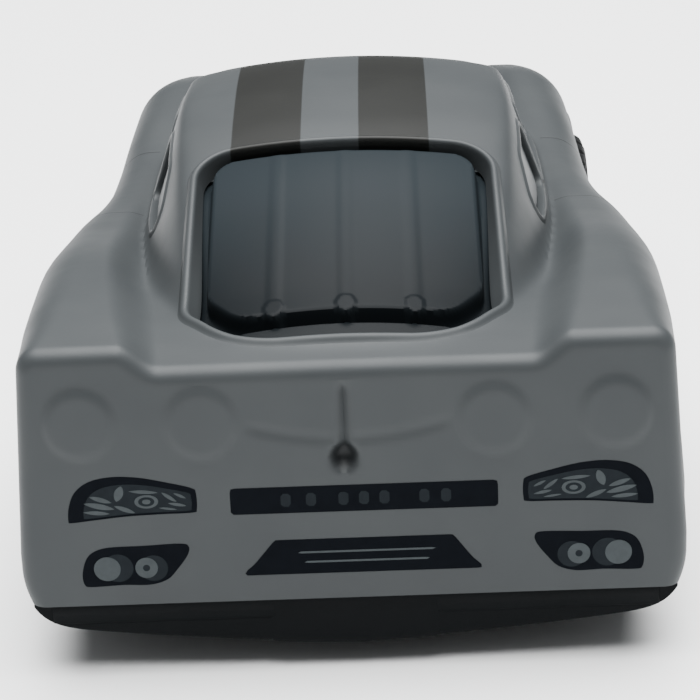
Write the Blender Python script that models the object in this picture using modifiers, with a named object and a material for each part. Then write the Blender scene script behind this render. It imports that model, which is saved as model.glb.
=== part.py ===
"""Pull-back toy sports car: moulded shell, smoked glazing, black chassis, four wheels and a spring motor.

The car points along +Y and stands on Z = 0, with its origin under the middle of its length.
Sizes are in millimetres from the tail (y), the centre line (x) and the ground (z).
"""

import math

import bmesh
import bpy
import numpy as np
from mathutils import Vector

MM = 0.001

# ---------------------------------------------------------------- driving dimensions, mm
LENGTH = 112.0
SHELL_WALL = 1.5
SKIRT_Z = 6.9
GAP = 0.3

WHEELBASE = 62.0
REAR_AXLE_Y = 22.0
FRONT_AXLE_Y = REAR_AXLE_Y + WHEELBASE
TYRE_R = 9.3
TYRE_WIDTH = 6.8
RIM_R = 6.3
ARCH_R = 10.9
REAR_WHEEL_X = 27.0
FRONT_WHEEL_X = 24.9
AXLE_R = 1.0
AXLE_BORE_R = 1.15
FRONT_AXLE_PLAY = 0.9

PLATE_LOW = 4.7
PLATE_TOP = SKIRT_Z - GAP
VALANCE_LOW = 2.4
BAY_INNER_X = 14.2
BAY_HALF_LENGTH = 11.4

# Spring motor.
MODULE = 0.5
AXLE_TEETH = 10
CLUTCH_TEETH = 12
TRANSFER_TEETH = 22
PINION_TEETH = 9
SPRING_TEETH = 24
MESH_SLACK = 0.08
CASE_HALF_WIDTH = 5.6
CASE_WALL = 0.8
SPRING_ARBOR_R = 1.5

# ---------------------------------------------------------------- the car's design lines


def design_line(*points):
    """A smooth curve through (station, value) pairs that never overshoots them."""
    stations, values = np.array(points, float).T
    steps = np.diff(stations)
    rises = np.diff(values) / steps
    same_way = rises[:-1] * rises[1:] > 0
    total = np.where(same_way, rises[:-1] + rises[1:], 1.0)
    slopes = np.concatenate(
        ([rises[0]], np.where(same_way, 2 * rises[:-1] * rises[1:] / total, 0.0), [rises[-1]])
    )

    def at(station):
        place = np.clip(station, stations[0], stations[-1])
        i = np.clip(np.searchsorted(stations, place, side="right") - 1, 0, len(steps) - 1)
        u = (place - stations[i]) / steps[i]
        start = (1 + 2 * u) * (1 - u) ** 2 * values[i] + u * (1 - u) ** 2 * steps[i] * slopes[i]
        end = u**2 * (3 - 2 * u) * values[i + 1] - u**2 * (1 - u) * steps[i] * slopes[i + 1]
        return start + end

    return at


HALF_WIDTH = design_line(
    (0, 27.9), (12, 28.6), (26, 28.9), (42, 27.5), (58, 25.1), (74, 24.6),
    (86, 24.4), (96, 22.9), (104, 20.4), (109.5, 17.2), (112, 14.0),
)
SHOULDER_R = design_line(
    (0, 1.6), (8, 3.4), (24, 4.6), (45, 3.6), (70, 3.6), (88, 4.6), (104, 4.0), (112, 2.6)
)
FENDER_TOP = design_line(
    (0, 30.1), (10, 30.3), (22, 29.7), (38, 27.1), (52, 25.3), (66, 24.9),
    (78, 25.3), (86, 25.4), (97, 23.4), (106, 19.5), (112, 15.9),
)
FENDER_CROWN_X = design_line(
    (0, 19.2), (10, 21.2), (26, 22.6), (60, 21.2), (88, 19.0), (104, 14.0), (112, 8.0)
)
DECK_TOP = design_line(
    (0, 28.1), (8, 28.3), (24, 26.7), (45, 25.1), (66, 24.3), (78, 23.9), (92, 21.5), (104, 18.1), (112, 15.3)
)
DECK_EDGE_X = design_line((0, 15.6), (10, 16.4), (26, 18.4), (60, 18.6), (78, 14.5), (92, 11.5), (112, 4.0))
ROOF_TOP = design_line(
    (0, 25.5), (4.6, 28.7), (12, 31.1), (22, 34.0), (31, 36.2), (38, 37.3), (47, 37.8),
    (56, 37.2), (62, 34.9), (70, 29.7), (77, 24.9), (86, 20.5),
)
CABIN_BASE_X = design_line(
    (0, 13.4), (6, 14.4), (24, 18.9), (40, 20.4), (60, 20.4), (72, 19.4), (84, 17.0)
)
CABIN_TOP_X = design_line(
    (0, 12.6), (8, 13.6), (22, 15.0), (31, 15.9), (45, 16.6), (58, 16.2), (72, 15.6), (84, 14.6)
)
ROOF_CROWN = 1.5
BELT_DROP = 1.2
CABIN_EDGE_R = 1.6
CABIN_FOOT_R = 0.9
LEAN_START_Z = 11.5
LEAN = 0.0022
TUCK_START_Z = 10.0
TUCK = 0.6
TAIL_EDGE_R = 1.4
NOSE_EDGE_R = 3.0


def smooth_step(u):
    u = np.clip(u, 0, 1)
    return u * u * (3 - 2 * u)


def smooth_max(a, b, radius):
    return 0.5 * (a + b + np.sqrt((a - b) ** 2 + radius**2))


def smooth_min(a, b, radius):
    return -smooth_max(-a, -b, radius)


def upper_skin(x, y):
    """Height of the body's outer skin: fenders falling to the deck, with the cabin standing on them."""
    x = np.abs(x)
    crown = FENDER_TOP(y)
    edge = DECK_EDGE_X(y)
    rise = smooth_step((x - edge) / (FENDER_CROWN_X(y) - edge))
    lower_body = DECK_TOP(y) + (crown - DECK_TOP(y)) * rise
    roof = ROOF_TOP(y)
    top_x = CABIN_TOP_X(y)
    base_x = CABIN_BASE_X(y)
    belt = DECK_TOP(y) - BELT_DROP
    roof_skin = roof - ROOF_CROWN * (x / top_x) ** 2
    side_slope = np.maximum(roof - ROOF_CROWN - belt, 0.5) / (base_x - top_x)
    side_skin = belt + (base_x - x) * side_slope
    cabin = smooth_min(roof_skin, side_skin, CABIN_EDGE_R)
    return smooth_max(lower_body, cabin, CABIN_FOOT_R)


def lean_in(x, z):
    """The sides lean in a little above the widest level."""
    return x * (1 - LEAN * np.maximum(z - LEAN_START_Z, 0))


def half_section(y, inset, foot_z, side_steps, arc_steps, top_shares):
    """(x, z) of one half section, from its foot up the side and over the shoulder to the centre line."""
    half = HALF_WIDTH(y) - inset
    radius = np.maximum(SHOULDER_R(y) - inset, 0.8)

    def skin(x):
        outward = np.abs(x) + inset
        return np.minimum(upper_skin(x, y), upper_skin(outward, y)) - inset

    angles = np.linspace(0, math.pi / 2, arc_steps)
    arc_x = half - radius + radius * np.cos(angles)
    arc_z = skin(arc_x) - radius + radius * np.sin(angles)
    side_z = foot_z + (arc_z[0] - foot_z) * np.linspace(0, 1, side_steps)[:-1] ** 1.6
    depth = np.clip((TUCK_START_Z - side_z) / (TUCK_START_Z - SKIRT_Z), 0, 1)
    tuck = TUCK * depth**2
    top_x = (half - radius) * top_shares[1:]
    x = np.concatenate((half - tuck, arc_x, top_x))
    z = np.concatenate((side_z, arc_z, skin(top_x)))
    return np.stack((lean_in(x, z), z), 1)


def inset_section(section, amount):
    """The section moved inwards along its own normal, with its foot kept at its height."""
    along = np.gradient(section, axis=0)
    normal = np.stack((along[:, 1], -along[:, 0]), 1)
    normal /= np.linalg.norm(normal, axis=1)[:, None]
    normal[0] = (1, 0)
    normal[-1] = (0, 1)
    return section - amount * normal


def body_loft(name, stations, inset, foot_z, tail_edge, nose_edge, steps):
    """A closed solid lofted through whole sections, with rounded ends and a flat cap on each."""
    side_steps, arc_steps, top_shares, edge_steps = steps
    tail_y, nose_y = stations[0], stations[-1]
    rows = []
    for y in stations:
        rows.append((y, half_section(y, inset, foot_z, side_steps, arc_steps, top_shares)))
    tail, nose = rows[0][1], rows[-1][1]
    for angle in np.linspace(0, math.pi / 2, edge_steps)[1:]:
        shrink, travel = 1 - math.cos(angle), math.sin(angle)
        rows.insert(0, (tail_y - tail_edge * travel, inset_section(tail, tail_edge * shrink)))
        rows.append((nose_y + nose_edge * travel, inset_section(nose, nose_edge * shrink)))
    points = []
    for y, half in rows:
        left = half * (-1, 1)
        right = half[-2::-1]
        ring = np.concatenate((left, right))
        points.append(np.column_stack((ring[:, 0], np.full(len(ring), y), ring[:, 1])))
    return closed_loft(name, np.array(points), side_steps)


def closed_loft(name, rings, side_steps):
    """Quads between the rings, a grid cap at each end, and a floor between their feet."""
    ring_count, width = rings.shape[:2]
    index = np.arange(ring_count * width).reshape(ring_count, width)
    points = list(rings.reshape(-1, 3))
    low, high = index[:-1], index[1:]
    faces = np.stack((low[:, :-1], low[:, 1:], high[:, 1:], high[:, :-1]), -1).reshape(-1, 4).tolist()
    feet = [[left, right] for left, right in zip(index[:, 0].tolist(), index[:, -1].tolist())]
    for end in (0, ring_count - 1):
        cap, feet[end] = end_cap(points, rings[end], index[end], side_steps)
        faces += cap
    for near, far in zip(feet[:-1], feet[1:]):
        faces.append(near + far[::-1])
    return lofted(name, rounded_nose(np.array(points)), faces)


def rounded_nose(points):
    """Draws the nose back towards its sides, its top and its foot, so it isn't a flat wall."""
    x, y, z = points.T
    reach = np.clip((y - 96) / (LENGTH - 96), 0, 1) ** 2
    back = 3.4 * (x / 16) ** 2 + 1.6 * (np.maximum(np.abs(z - 10.0) - 1.2, 0) / 5) ** 2
    return np.column_stack((x, y - reach * back, z))


def end_cap(points, ring, ring_index, side_steps):
    """A flat grid that joins the left side, the top and the right side of an end ring (a Coons patch).

    Returns its faces and the row of points along its foot.
    """
    across = len(ring) - 2 * side_steps
    grid = np.zeros((side_steps + 1, across), int)
    grid[:, 0] = ring_index[: side_steps + 1]
    grid[:, -1] = ring_index[::-1][: side_steps + 1]
    grid[side_steps] = ring_index[side_steps : side_steps + across]
    share = np.linspace(0, 1, across)[:, None]
    foot = ring[0] * (1 - share) + ring[-1] * share
    top = ring[side_steps : side_steps + across]
    for i in range(side_steps):
        v = i / side_steps
        left, right = ring[i], ring[len(ring) - 1 - i]
        for j in range(1, across - 1):
            u = share[j]
            across_sides = left * (1 - u) + right * u
            up_through = foot[j] * (1 - v) + top[j] * v
            corners = foot[j] * (1 - v) + (top[0] * (1 - u) + top[-1] * u) * v
            points.append(across_sides + up_through - corners)
            grid[i, j] = len(points) - 1
    quads = np.stack((grid[:-1, :-1], grid[:-1, 1:], grid[1:, 1:], grid[1:, :-1]), -1)
    return quads.reshape(-1, 4).tolist(), grid[0].tolist()


# ---------------------------------------------------------------- modelling tools


def clear_scene():
    for obj in list(bpy.data.objects):
        bpy.data.objects.remove(obj)


def collection(name):
    made = bpy.data.collections.new(name)
    bpy.context.scene.collection.children.link(made)
    return made


def in_world(place):
    """Millimetres from the tail to metres about the middle of the length."""
    x, y, z = place
    return Vector((x, y - LENGTH / 2, z)) * MM


# Turns that point a piece's own Z axis along a car axis. A piece that faces x has its own X and Y along the
# car's Y and Z; one that faces y has its own Y along the car's Z.
FACING = {
    "x": (math.pi / 2, 0, math.pi / 2),
    "-x": (math.pi / 2, 0, -math.pi / 2),
    "y": (math.pi / 2, 0, 0),
    "z": (0, 0, 0),
}


def placed(name, mesh, along, centre, facing):
    """Adds a piece with its origin at along on the axis that it faces, and at centre across that axis."""
    first, second = centre
    places = {"x": (along, first, second), "y": (first, along, second), "z": (first, second, along)}
    obj = bpy.data.objects.new(name, mesh)
    obj.location = in_world(places[facing[-1]])
    obj.rotation_euler = FACING[facing]
    PARTS.objects.link(obj)
    return obj


def tidy_mesh(mesh):
    """Merges doubles, turns the faces outwards and shades round surfaces smooth."""
    shape = bmesh.new()
    shape.from_mesh(mesh)
    bmesh.ops.remove_doubles(shape, verts=shape.verts, dist=2e-6)
    bmesh.ops.recalc_face_normals(shape, faces=shape.faces)
    shape.to_mesh(mesh)
    shape.free()
    mesh.shade_smooth()
    mesh.set_sharp_from_angle(angle=math.radians(35))
    return mesh


def lofted(name, points_mm, faces):
    """A piece made of a loft's own points and faces, with its origin at the car's."""
    mesh = bpy.data.meshes.new(name)
    mesh.from_pydata([in_world(point) for point in points_mm], [], faces)
    return placed(name, tidy_mesh(mesh), 0, (0, LENGTH / 2), "z")


def cylinder(name, radius, low, high, centre, sides=16, facing="x"):
    shape = bmesh.new()
    r = radius * MM
    bmesh.ops.create_cone(
        shape, cap_ends=True, segments=sides, radius1=r, radius2=r, depth=(high - low) * MM
    )
    mesh = bpy.data.meshes.new(name)
    shape.to_mesh(mesh)
    shape.free()
    return placed(name, tidy_mesh(mesh), (low + high) / 2, centre, facing)


def box(name, low, high):
    """A block between two opposite corners."""
    low, high = in_world(low), in_world(high)
    shape = bmesh.new()
    bmesh.ops.create_cube(shape, size=1)
    bmesh.ops.scale(shape, vec=high - low, verts=shape.verts)
    mesh = bpy.data.meshes.new(name)
    shape.to_mesh(mesh)
    shape.free()
    obj = bpy.data.objects.new(name, mesh)
    obj.location = (low + high) / 2
    PARTS.objects.link(obj)
    return obj


def plate(name, outlines, low, high, facing="x", centre=(0, 0)):
    """A flat piece with one outer outline and any holes, from low to high along the axis it faces.

    Outlines hold (y, z) when it faces x, (x, z) when it faces y and (x, y) when it faces z, all from centre.
    """
    curve = bpy.data.curves.new(name, "CURVE")
    curve.dimensions = "2D"
    curve.fill_mode = "BOTH"
    curve.extrude = (high - low) / 2 * MM
    for outline in outlines:
        spline = curve.splines.new("POLY")
        spline.points.add(len(outline) - 1)
        for point, (a, b) in zip(spline.points, outline):
            point.co = (a * MM, b * MM, 0, 1)
        spline.use_cyclic_u = True
    flat = bpy.data.objects.new(name + "_outline", curve)
    PARTS.objects.link(flat)
    graph = bpy.context.evaluated_depsgraph_get()
    mesh = bpy.data.meshes.new_from_object(flat.evaluated_get(graph))
    bpy.data.objects.remove(flat)
    return placed(name, tidy_mesh(mesh), (low + high) / 2, centre, facing)


def turned(name, profile, along, centre, sides, facing="x", closed=False):
    """A profile of (distance along the axis, radius) pairs turned about the axis that the piece faces."""
    mesh = bpy.data.meshes.new(name)
    count = len(profile)
    edges = [(i, (i + 1) % count) for i in range(count if closed else count - 1)]
    mesh.from_pydata([(radius * MM, 0, distance * MM) for distance, radius in profile], edges, [])
    obj = placed(name, mesh, along, centre, facing)
    screw = obj.modifiers.new("turn", "SCREW")
    screw.steps = sides
    screw.render_steps = sides
    screw.use_merge_vertices = True
    screw.merge_threshold = 0.00001
    return obj


def circle(radius, sides=16):
    angles = np.linspace(0, 2 * math.pi, sides, endpoint=False)
    return [(radius * math.cos(angle), radius * math.sin(angle)) for angle in angles]


def rounded_outline(corners, radius, steps=3):
    """A polygon whose corners are rounded, each by a short curve between its two edges."""
    outline = []
    count = len(corners)
    for i in range(count):
        here = np.array(corners[i], float)
        before = np.array(corners[i - 1], float) - here
        after = np.array(corners[(i + 1) % count], float) - here
        reach = min(radius, 0.45 * np.linalg.norm(before), 0.45 * np.linalg.norm(after))
        first = here + before / np.linalg.norm(before) * reach
        last = here + after / np.linalg.norm(after) * reach
        for u in np.linspace(0, 1, steps):
            outline.append(tuple(first * (1 - u) ** 2 + 2 * here * u * (1 - u) + last * u**2))
    return outline


def rectangle(low, high):
    return [(low[0], low[1]), (high[0], low[1]), (high[0], high[1]), (low[0], high[1])]


def boolean(obj, other, operation):
    modifier = obj.modifiers.new(other.name, "BOOLEAN")
    modifier.operation = operation
    modifier.solver = "EXACT"
    modifier.object = other
    other.hide_render = True
    other.display_type = "WIRE"
    PARTS.objects.unlink(other)
    CUTTERS.objects.link(other)


def cut(obj, *others):
    for other in others:
        boolean(obj, other, "DIFFERENCE")


def join(obj, *others):
    for other in others:
        boolean(obj, other, "UNION")


# Each finish holds its colour, roughness and metallic value.
FINISHES = {
    "silver_grey_plastic": ((0.22, 0.245, 0.26), 0.38, 0.35),
    "smoked_plastic": ((0.02, 0.025, 0.03), 0.12, 0.0),
    "black_plastic": ((0.012, 0.013, 0.016), 0.5, 0.0),
    "black_rubber": ((0.012, 0.012, 0.012), 0.75, 0.0),
    "white_nylon": ((0.75, 0.74, 0.7), 0.4, 0.0),
    "grey_plastic": ((0.55, 0.57, 0.58), 0.35, 0.0),
    "silvered_plastic": ((0.5, 0.51, 0.52), 0.3, 0.8),
    "steel": ((0.6, 0.6, 0.6), 0.28, 1.0),
}


def paint(obj, finish):
    """Gives the piece a material of its own."""
    colour, roughness, metallic = FINISHES[finish]
    material = bpy.data.materials.new(f"{obj.name}_{finish}")
    material.use_nodes = True
    shader = material.node_tree.nodes["Principled BSDF"]
    shader.inputs["Base Color"].default_value = (*colour, 1)
    shader.inputs["Roughness"].default_value = roughness
    shader.inputs["Metallic"].default_value = metallic
    obj.data.materials.clear()
    obj.data.materials.append(material)


# ---------------------------------------------------------------- body shell

# Screws hold the chassis to posts under the bonnet and in the tail's corners: (x, y) of each.
SCREWS = {"front": (0.0, 103.4), "rear_left": (-17.8, 5.6), "rear_right": (17.8, 5.6)}
POST_R = 2.3
POST_HOLE_R = 1.05
POST_HOLE_DEPTH = 7.5
REAR_WINDOW = ((-12.9, 5.4), (12.9, 5.4), (12.9, 31.2), (-12.9, 31.2))
WINDSCREEN = ((-14.2, 59.2), (14.2, 59.2), (15.4, 76.0), (-15.4, 76.0))
DOOR_WINDOW = ((47.2, 26.9), (66.0, 26.1), (61.0, 32.7), (47.2, 33.9))
QUARTER_WINDOW = ((29.4, 28.5), (44.8, 27.3), (44.8, 33.7), (36.0, 32.9))
SIDE_WINDOW_X = (12.5, 30.0)
VALLEY_X = 18.7


def make_body_shell():
    """The outer skin with its arches and window openings, less a hollow, with posts for the screws."""
    stations = np.array(
        [TAIL_EDGE_R, 3, 5, 8, 13, 19, 25, 31, 38, 47, 55, 60, 65, 71, 77, 83, 89, 95, 101, 106, 109]
    )
    shares = np.array([1, 0.92, 0.85, 0.78, 0.7, 0.58, 0.4, 0.2, 0.0])
    shell = body_loft("body_shell", stations, 0.0, SKIRT_Z, TAIL_EDGE_R, NOSE_EDGE_R, (7, 4, shares, 4))
    inner_x = BAY_INNER_X + 3
    for axle, y in (("rear", REAR_AXLE_Y), ("front", FRONT_AXLE_Y)):
        cut(shell, cylinder(f"arch_{axle}_left", ARCH_R, -30, -inner_x, (y, TYRE_R), 28))
        cut(shell, cylinder(f"arch_{axle}_right", ARCH_R, inner_x, 30, (y, TYRE_R), 28))
    cut(shell, plate("rear_window_opening", [rounded_outline(REAR_WINDOW, 4.2, 4)], 27.5, 42, "z"))
    cut(shell, plate("windscreen_opening", [rounded_outline(WINDSCREEN, 2.6, 4)], 26.1, 42, "z"))
    for side, sign in (("left", -1), ("right", 1)):
        low, high = sorted(sign * x for x in SIDE_WINDOW_X)
        cut(shell, plate(f"door_window_{side}", [rounded_outline(DOOR_WINDOW, 2.2)], low, high))
        # A quarter window stops in the valley beside the cabin, short of the rear fender.
        low, high = sorted((sign * SIDE_WINDOW_X[0], sign * VALLEY_X))
        cut(shell, plate(f"quarter_window_{side}", [rounded_outline(QUARTER_WINDOW, 2.4)], low, high))
    stations = np.array([3, 5, 8, 14, 22, 31, 40, 50, 58, 64, 71, 78, 86, 94, 102, 107.5])
    hollow = body_loft("shell_hollow", stations, SHELL_WALL, SKIRT_Z - 2, 0.9, 2.4, (4, 3, shares, 3))
    cut(shell, hollow)
    for place, (x, y) in SCREWS.items():
        post_top = float(upper_skin(x, y)) - 0.8
        join(shell, cylinder(f"post_{place}", POST_R, SKIRT_Z, post_top, (x, y), 12, "z"))
        hole_top = SKIRT_Z + POST_HOLE_DEPTH
        cut(shell, cylinder(f"post_hole_{place}", POST_HOLE_R, SKIRT_Z - 1, hole_top, (x, y), 10, "z"))
    paint(shell, "silver_grey_plastic")


def make_window_insert():
    """One smoked moulding hugs the inside of the cabin: rear window, side windows and windscreen."""
    gap = SHELL_WALL + 0.6
    stations = np.array([4.5, 7, 11, 16, 22, 28, 34, 41, 48, 55, 60, 65, 70, 77.0])
    half_shares = np.array([0.2, 0.45, 0.68, 0.78, 0.86, 0.93, 1])
    shares = np.concatenate((-half_shares[::-1], [0], half_shares))
    points = []
    for y in stations:
        x = (CABIN_BASE_X(y) - 0.7) * shares
        z = np.minimum(upper_skin(x, y), upper_skin(np.abs(x) + gap, y)) - gap
        points += list(zip(lean_in(x, z), np.full(len(x), y), z))
    index = np.arange(len(points)).reshape(len(stations), len(shares))
    faces = np.stack((index[:-1, :-1], index[:-1, 1:], index[1:, 1:], index[1:, :-1]), -1).reshape(-1, 4)
    insert = lofted("window_insert", points, faces.tolist())
    wall = insert.modifiers.new("wall", "SOLIDIFY")
    wall.thickness = 0.8 * MM
    wall.offset = -1
    paint(insert, "smoked_plastic")


# ---------------------------------------------------------------- chassis and cabin

# Half of the floor plate's plan, from the tail to the nose: (x, y).
FLOOR_EDGE = (
    (25.6, 0.6), (26.6, 2.4), (26.9, 10.0), (27.0, 30.0), (26.0, 40.0), (24.6, 48.0), (23.4, 56.0),
    (22.8, 72.0), (22.2, 88.0), (20.6, 97.0), (18.6, 102.5), (15.4, 106.4), (11.0, 109.0), (4.0, 110.6),
)
VALANCE_X = 26.4
VALANCE_END = 5.8
MOTOR_BAY = ((-6.2, 16.6), (6.2, 48.4))
CRADLE_X = 10.5
CRADLE_TOP = TYRE_R + 2.1
RIB_X = 7.6


def make_chassis():
    """A floor plate with wheel bays and a motor bay, a curved rear valance and front axle cradles."""
    outline = list(FLOOR_EDGE) + [(-x, y) for x, y in reversed(FLOOR_EDGE)]
    chassis = plate("chassis", [outline], PLATE_LOW, PLATE_TOP, "z")
    rise = VALANCE_END - VALANCE_LOW
    low_edge = [
        (x, VALANCE_LOW + rise * abs(x / VALANCE_X) ** 3.2) for x in np.linspace(-VALANCE_X, VALANCE_X, 17)
    ]
    valance = [*low_edge, (VALANCE_X, PLATE_TOP - 0.3), (-VALANCE_X, PLATE_TOP - 0.3)]
    join(chassis, plate("rear_valance", [valance], 0.8, 8.8, "y"))
    for axle, y in (("rear", REAR_AXLE_Y), ("front", FRONT_AXLE_Y)):
        near, far = y - BAY_HALF_LENGTH, y + BAY_HALF_LENGTH
        cut(chassis, box(f"bay_{axle}_left", (-30, near, 0), (-BAY_INNER_X, far, 9)))
        cut(chassis, box(f"bay_{axle}_right", (BAY_INNER_X, near, 0), (30, far, 9)))
    cut(chassis, plate("motor_bay", [rounded_outline(rectangle(*MOTOR_BAY), 1.0)], 0, 9, "z"))
    for sign in (-1, 1):
        x = sign * CRADLE_X
        cradle = rectangle((-3, PLATE_LOW + 0.6 - TYRE_R), (3, CRADLE_TOP - TYRE_R))
        axle_place = (FRONT_AXLE_Y, TYRE_R)
        solid = [rounded_outline(cradle, 0.8)]
        join(chassis, plate(f"cradle_{sign}", solid, x - 1.2, x + 1.2, "x", axle_place))
        cut(chassis, plate(f"cradle_slot_{sign}", [axle_slot()], x - 2, x + 2, "x", axle_place))
        x = sign * RIB_X
        join(chassis, box(f"floor_rib_{sign}", (x - 0.6, 50.5, PLATE_LOW + 0.6), (x + 0.6, 71.0, 7.7)))
    for place, centre in SCREWS.items():
        cut(chassis, cylinder(f"screw_hole_{place}", 1.1, 0, 9, centre, 10, "z"))
        cut(chassis, cylinder(f"screw_recess_{place}", 2.35, 0, PLATE_LOW + 0.95, centre, 12, "z"))
    paint(chassis, "black_plastic")


def axle_slot():
    """A slot open at the top, with a half-round seat that the axle drops into."""
    radius = AXLE_R + 0.15
    angles = np.linspace(math.pi, 2 * math.pi, 7)
    seat = [(radius * math.cos(angle), radius * math.sin(angle)) for angle in angles]
    return [*seat, (radius, 4.0), (-radius, 4.0)]


def make_screws():
    """Each pan-head screw runs up through the chassis into its post in the shell."""
    head_low, head_high, shank_top = PLATE_LOW + 0.05, PLATE_LOW + 0.8, SKIRT_Z + 6.0
    slot_top = head_low + 0.4
    for place, (x, y) in SCREWS.items():
        screw = cylinder(f"chassis_screw_{place}", 2.0, head_low, head_high, (x, y), 12, "z")
        join(screw, cylinder(f"shank_{place}", 0.8, head_high - 0.3, shank_top, (x, y), 8, "z"))
        for half_x, half_y in ((1.3, 0.22), (0.22, 1.3)):
            low, high = (x - half_x, y - half_y, head_low - 1), (x + half_x, y + half_y, slot_top)
            cut(screw, box(f"driver_slot_{place}", low, high))
        paint(screw, "steel")


TUB_HALF_WIDTH = 14.8
SEAT_X = 7.4
SEAT_HALF_WIDTH = 5.2


def make_interior():
    """A black tub: shelf over the motor, bulkhead, floor, dashboard and two seats, moulded in one."""
    wall = 1.2
    shelf_z, floor_z, bulkhead_y = 22.9, 9.7, 49.4
    side_view = [
        (8.5, shelf_z), (bulkhead_y, shelf_z), (bulkhead_y, floor_z), (75.6, floor_z), (75.6, 20.3),
        (70.5, 19.9), (70.5, 16.1), (74.4, 15.1), (74.4, floor_z + wall), (bulkhead_y + wall, floor_z + wall),
        (bulkhead_y + wall, shelf_z + wall), (8.5, shelf_z + wall),
    ]
    tub = plate("interior_tub", [side_view], -TUB_HALF_WIDTH, TUB_HALF_WIDTH)
    seat = [
        (52.4, 10.5), (63.0, 10.5), (63.6, 14.1), (62.6, 14.9), (56.4, 13.7), (53.8, 26.1), (51.8, 26.9),
        (50.2, 26.1),
    ]
    for sign in (-1, 1):
        low, high = sign * SEAT_X - SEAT_HALF_WIDTH, sign * SEAT_X + SEAT_HALF_WIDTH
        join(tub, plate(f"seat_{sign}", [rounded_outline(seat, 1.0)], low, high))
    paint(tub, "black_plastic")


# ---------------------------------------------------------------- wheels and axles

# Rim profile from the hub cap's centre, over the lip and back into the bore, as (depth, radius) pairs.
# Depths are from the tyre's outer side.
RIM_PROFILE = (
    (1.3, 0), (1.4, 2.2), (2.0, 2.6), (1.7, RIM_R - 1.0), (1.1, RIM_R - 0.8), (1.1, RIM_R), (5.9, RIM_R),
    (5.9, RIM_R - 0.8), (2.8, RIM_R - 0.9), (3.0, 2.4), (5.3, 2.3), (5.3, AXLE_BORE_R), (2.3, AXLE_BORE_R),
    (2.3, 0),
)
SPOKES = 5
WHEEL_SIDES = 28


def make_wheel(place, side, axle_y, outer_x, shift):
    """A dished rim with five openings between its spokes, and the tyre around it."""
    centre = (axle_y, TYRE_R)
    facing = "x" if side > 0 else "-x"
    half = TYRE_WIDTH / 2
    middle = side * (outer_x - half) + shift
    profile = [(half - depth, radius) for depth, radius in RIM_PROFILE]
    rim = turned(f"wheel_rim_{place}", profile, middle, centre, WHEEL_SIDES, facing)
    edge = RIM_R - 1.5
    corners = ((3.1, -0.2), (edge, -0.42), (edge + 0.25, 0.0), (edge, 0.42), (3.1, 0.2))
    openings = []
    for k in range(SPOKES):
        turn = math.radians(90 + 360 / SPOKES * k)
        openings.append([(r * math.cos(turn + a), r * math.sin(turn + a)) for r, a in corners])
    face = middle + side * (half - 2.4)
    cut(rim, plate(f"spoke_openings_{place}", openings, face - 1.8, face + 1.8, facing, centre))
    paint(rim, "silvered_plastic")

    seat, shoulder = RIM_R + 0.1, TYRE_R - 0.9
    profile = [
        (half - 0.6, seat), (half - 0.1, seat + 1.2), (half - 0.2, shoulder), (half - 1.1, TYRE_R),
        (1.1 - half, TYRE_R), (0.2 - half, shoulder), (-half, seat + 1.2), (0.5 - half, seat),
    ]
    tyre = turned(f"tyre_{place}", profile, middle, centre, WHEEL_SIDES, facing, closed=True)
    paint(tyre, "black_rubber")


def make_axles():
    """Each axle is pressed into its two rims; the front one has slid to the right within its play."""
    axles = (("rear", REAR_AXLE_Y, REAR_WHEEL_X, 0.0), ("front", FRONT_AXLE_Y, FRONT_WHEEL_X, FRONT_AXLE_PLAY))
    for name, y, outer_x, shift in axles:
        reach = outer_x - 2.6
        axle = cylinder(f"{name}_axle", AXLE_R, shift - reach, shift + reach, (y, TYRE_R), 12)
        paint(axle, "steel")
        make_wheel(f"{name}_left", -1, y, outer_x, shift)
        make_wheel(f"{name}_right", 1, y, outer_x, shift)


# ---------------------------------------------------------------- spring motor


def mesh_distance(teeth_a, teeth_b):
    return MODULE * (teeth_a + teeth_b) / 2 + MESH_SLACK


def clutch_centre():
    """The clutch gear meets both the axle gear and the transfer wheel, above the line between them."""
    to_axle = mesh_distance(AXLE_TEETH, CLUTCH_TEETH)
    to_transfer = mesh_distance(CLUTCH_TEETH, TRANSFER_TEETH)
    dy, dz = TRANSFER_C[0] - AXLE_C[0], TRANSFER_C[1] - AXLE_C[1]
    span = math.hypot(dy, dz)
    along = (to_axle**2 - to_transfer**2 + span**2) / (2 * span)
    up = math.sqrt(to_axle**2 - along**2)
    return (AXLE_C[0] + (along * dy - up * dz) / span, AXLE_C[1] + (along * dz + up * dy) / span)


# Gear centres in the side view, (y, z).
AXLE_C = (REAR_AXLE_Y, TYRE_R)
TRANSFER_C = (REAR_AXLE_Y + 9.7, TYRE_R + 2.4)
CLUTCH_C = clutch_centre()
SPRING_ANGLE = math.radians(-4)
SPRING_SPAN = mesh_distance(PINION_TEETH, SPRING_TEETH)
SPRING_C = (
    TRANSFER_C[0] + SPRING_SPAN * math.cos(SPRING_ANGLE),
    TRANSFER_C[1] + SPRING_SPAN * math.sin(SPRING_ANGLE),
)
PIN_R = 0.6
TRUNNION_R = 0.75
BEARING_REACH = 5.4


def direction(start, end):
    return math.atan2(end[1] - start[1], end[0] - start[0])


def gear_outline(teeth, phase):
    """Teeth with sloped flanks about the gear's own centre. One tooth points in the direction of phase."""
    pitch_r = MODULE * teeth / 2
    tip_r, root_r = pitch_r + 0.8 * MODULE, pitch_r - 1.1 * MODULE
    pitch = 2 * math.pi / teeth
    # Half widths of a tooth as shares of the pitch, at its root, middle and tip.
    flank = ((root_r, 0.29), (pitch_r, 0.205), (tip_r, 0.1))
    outline = []
    for k in range(teeth):
        middle = phase + k * pitch
        outline += [(r, middle - share * pitch) for r, share in flank]
        outline += [(r, middle + share * pitch) for r, share in reversed(flank)]
    return [(r * math.cos(angle), r * math.sin(angle)) for r, angle in outline]


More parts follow.
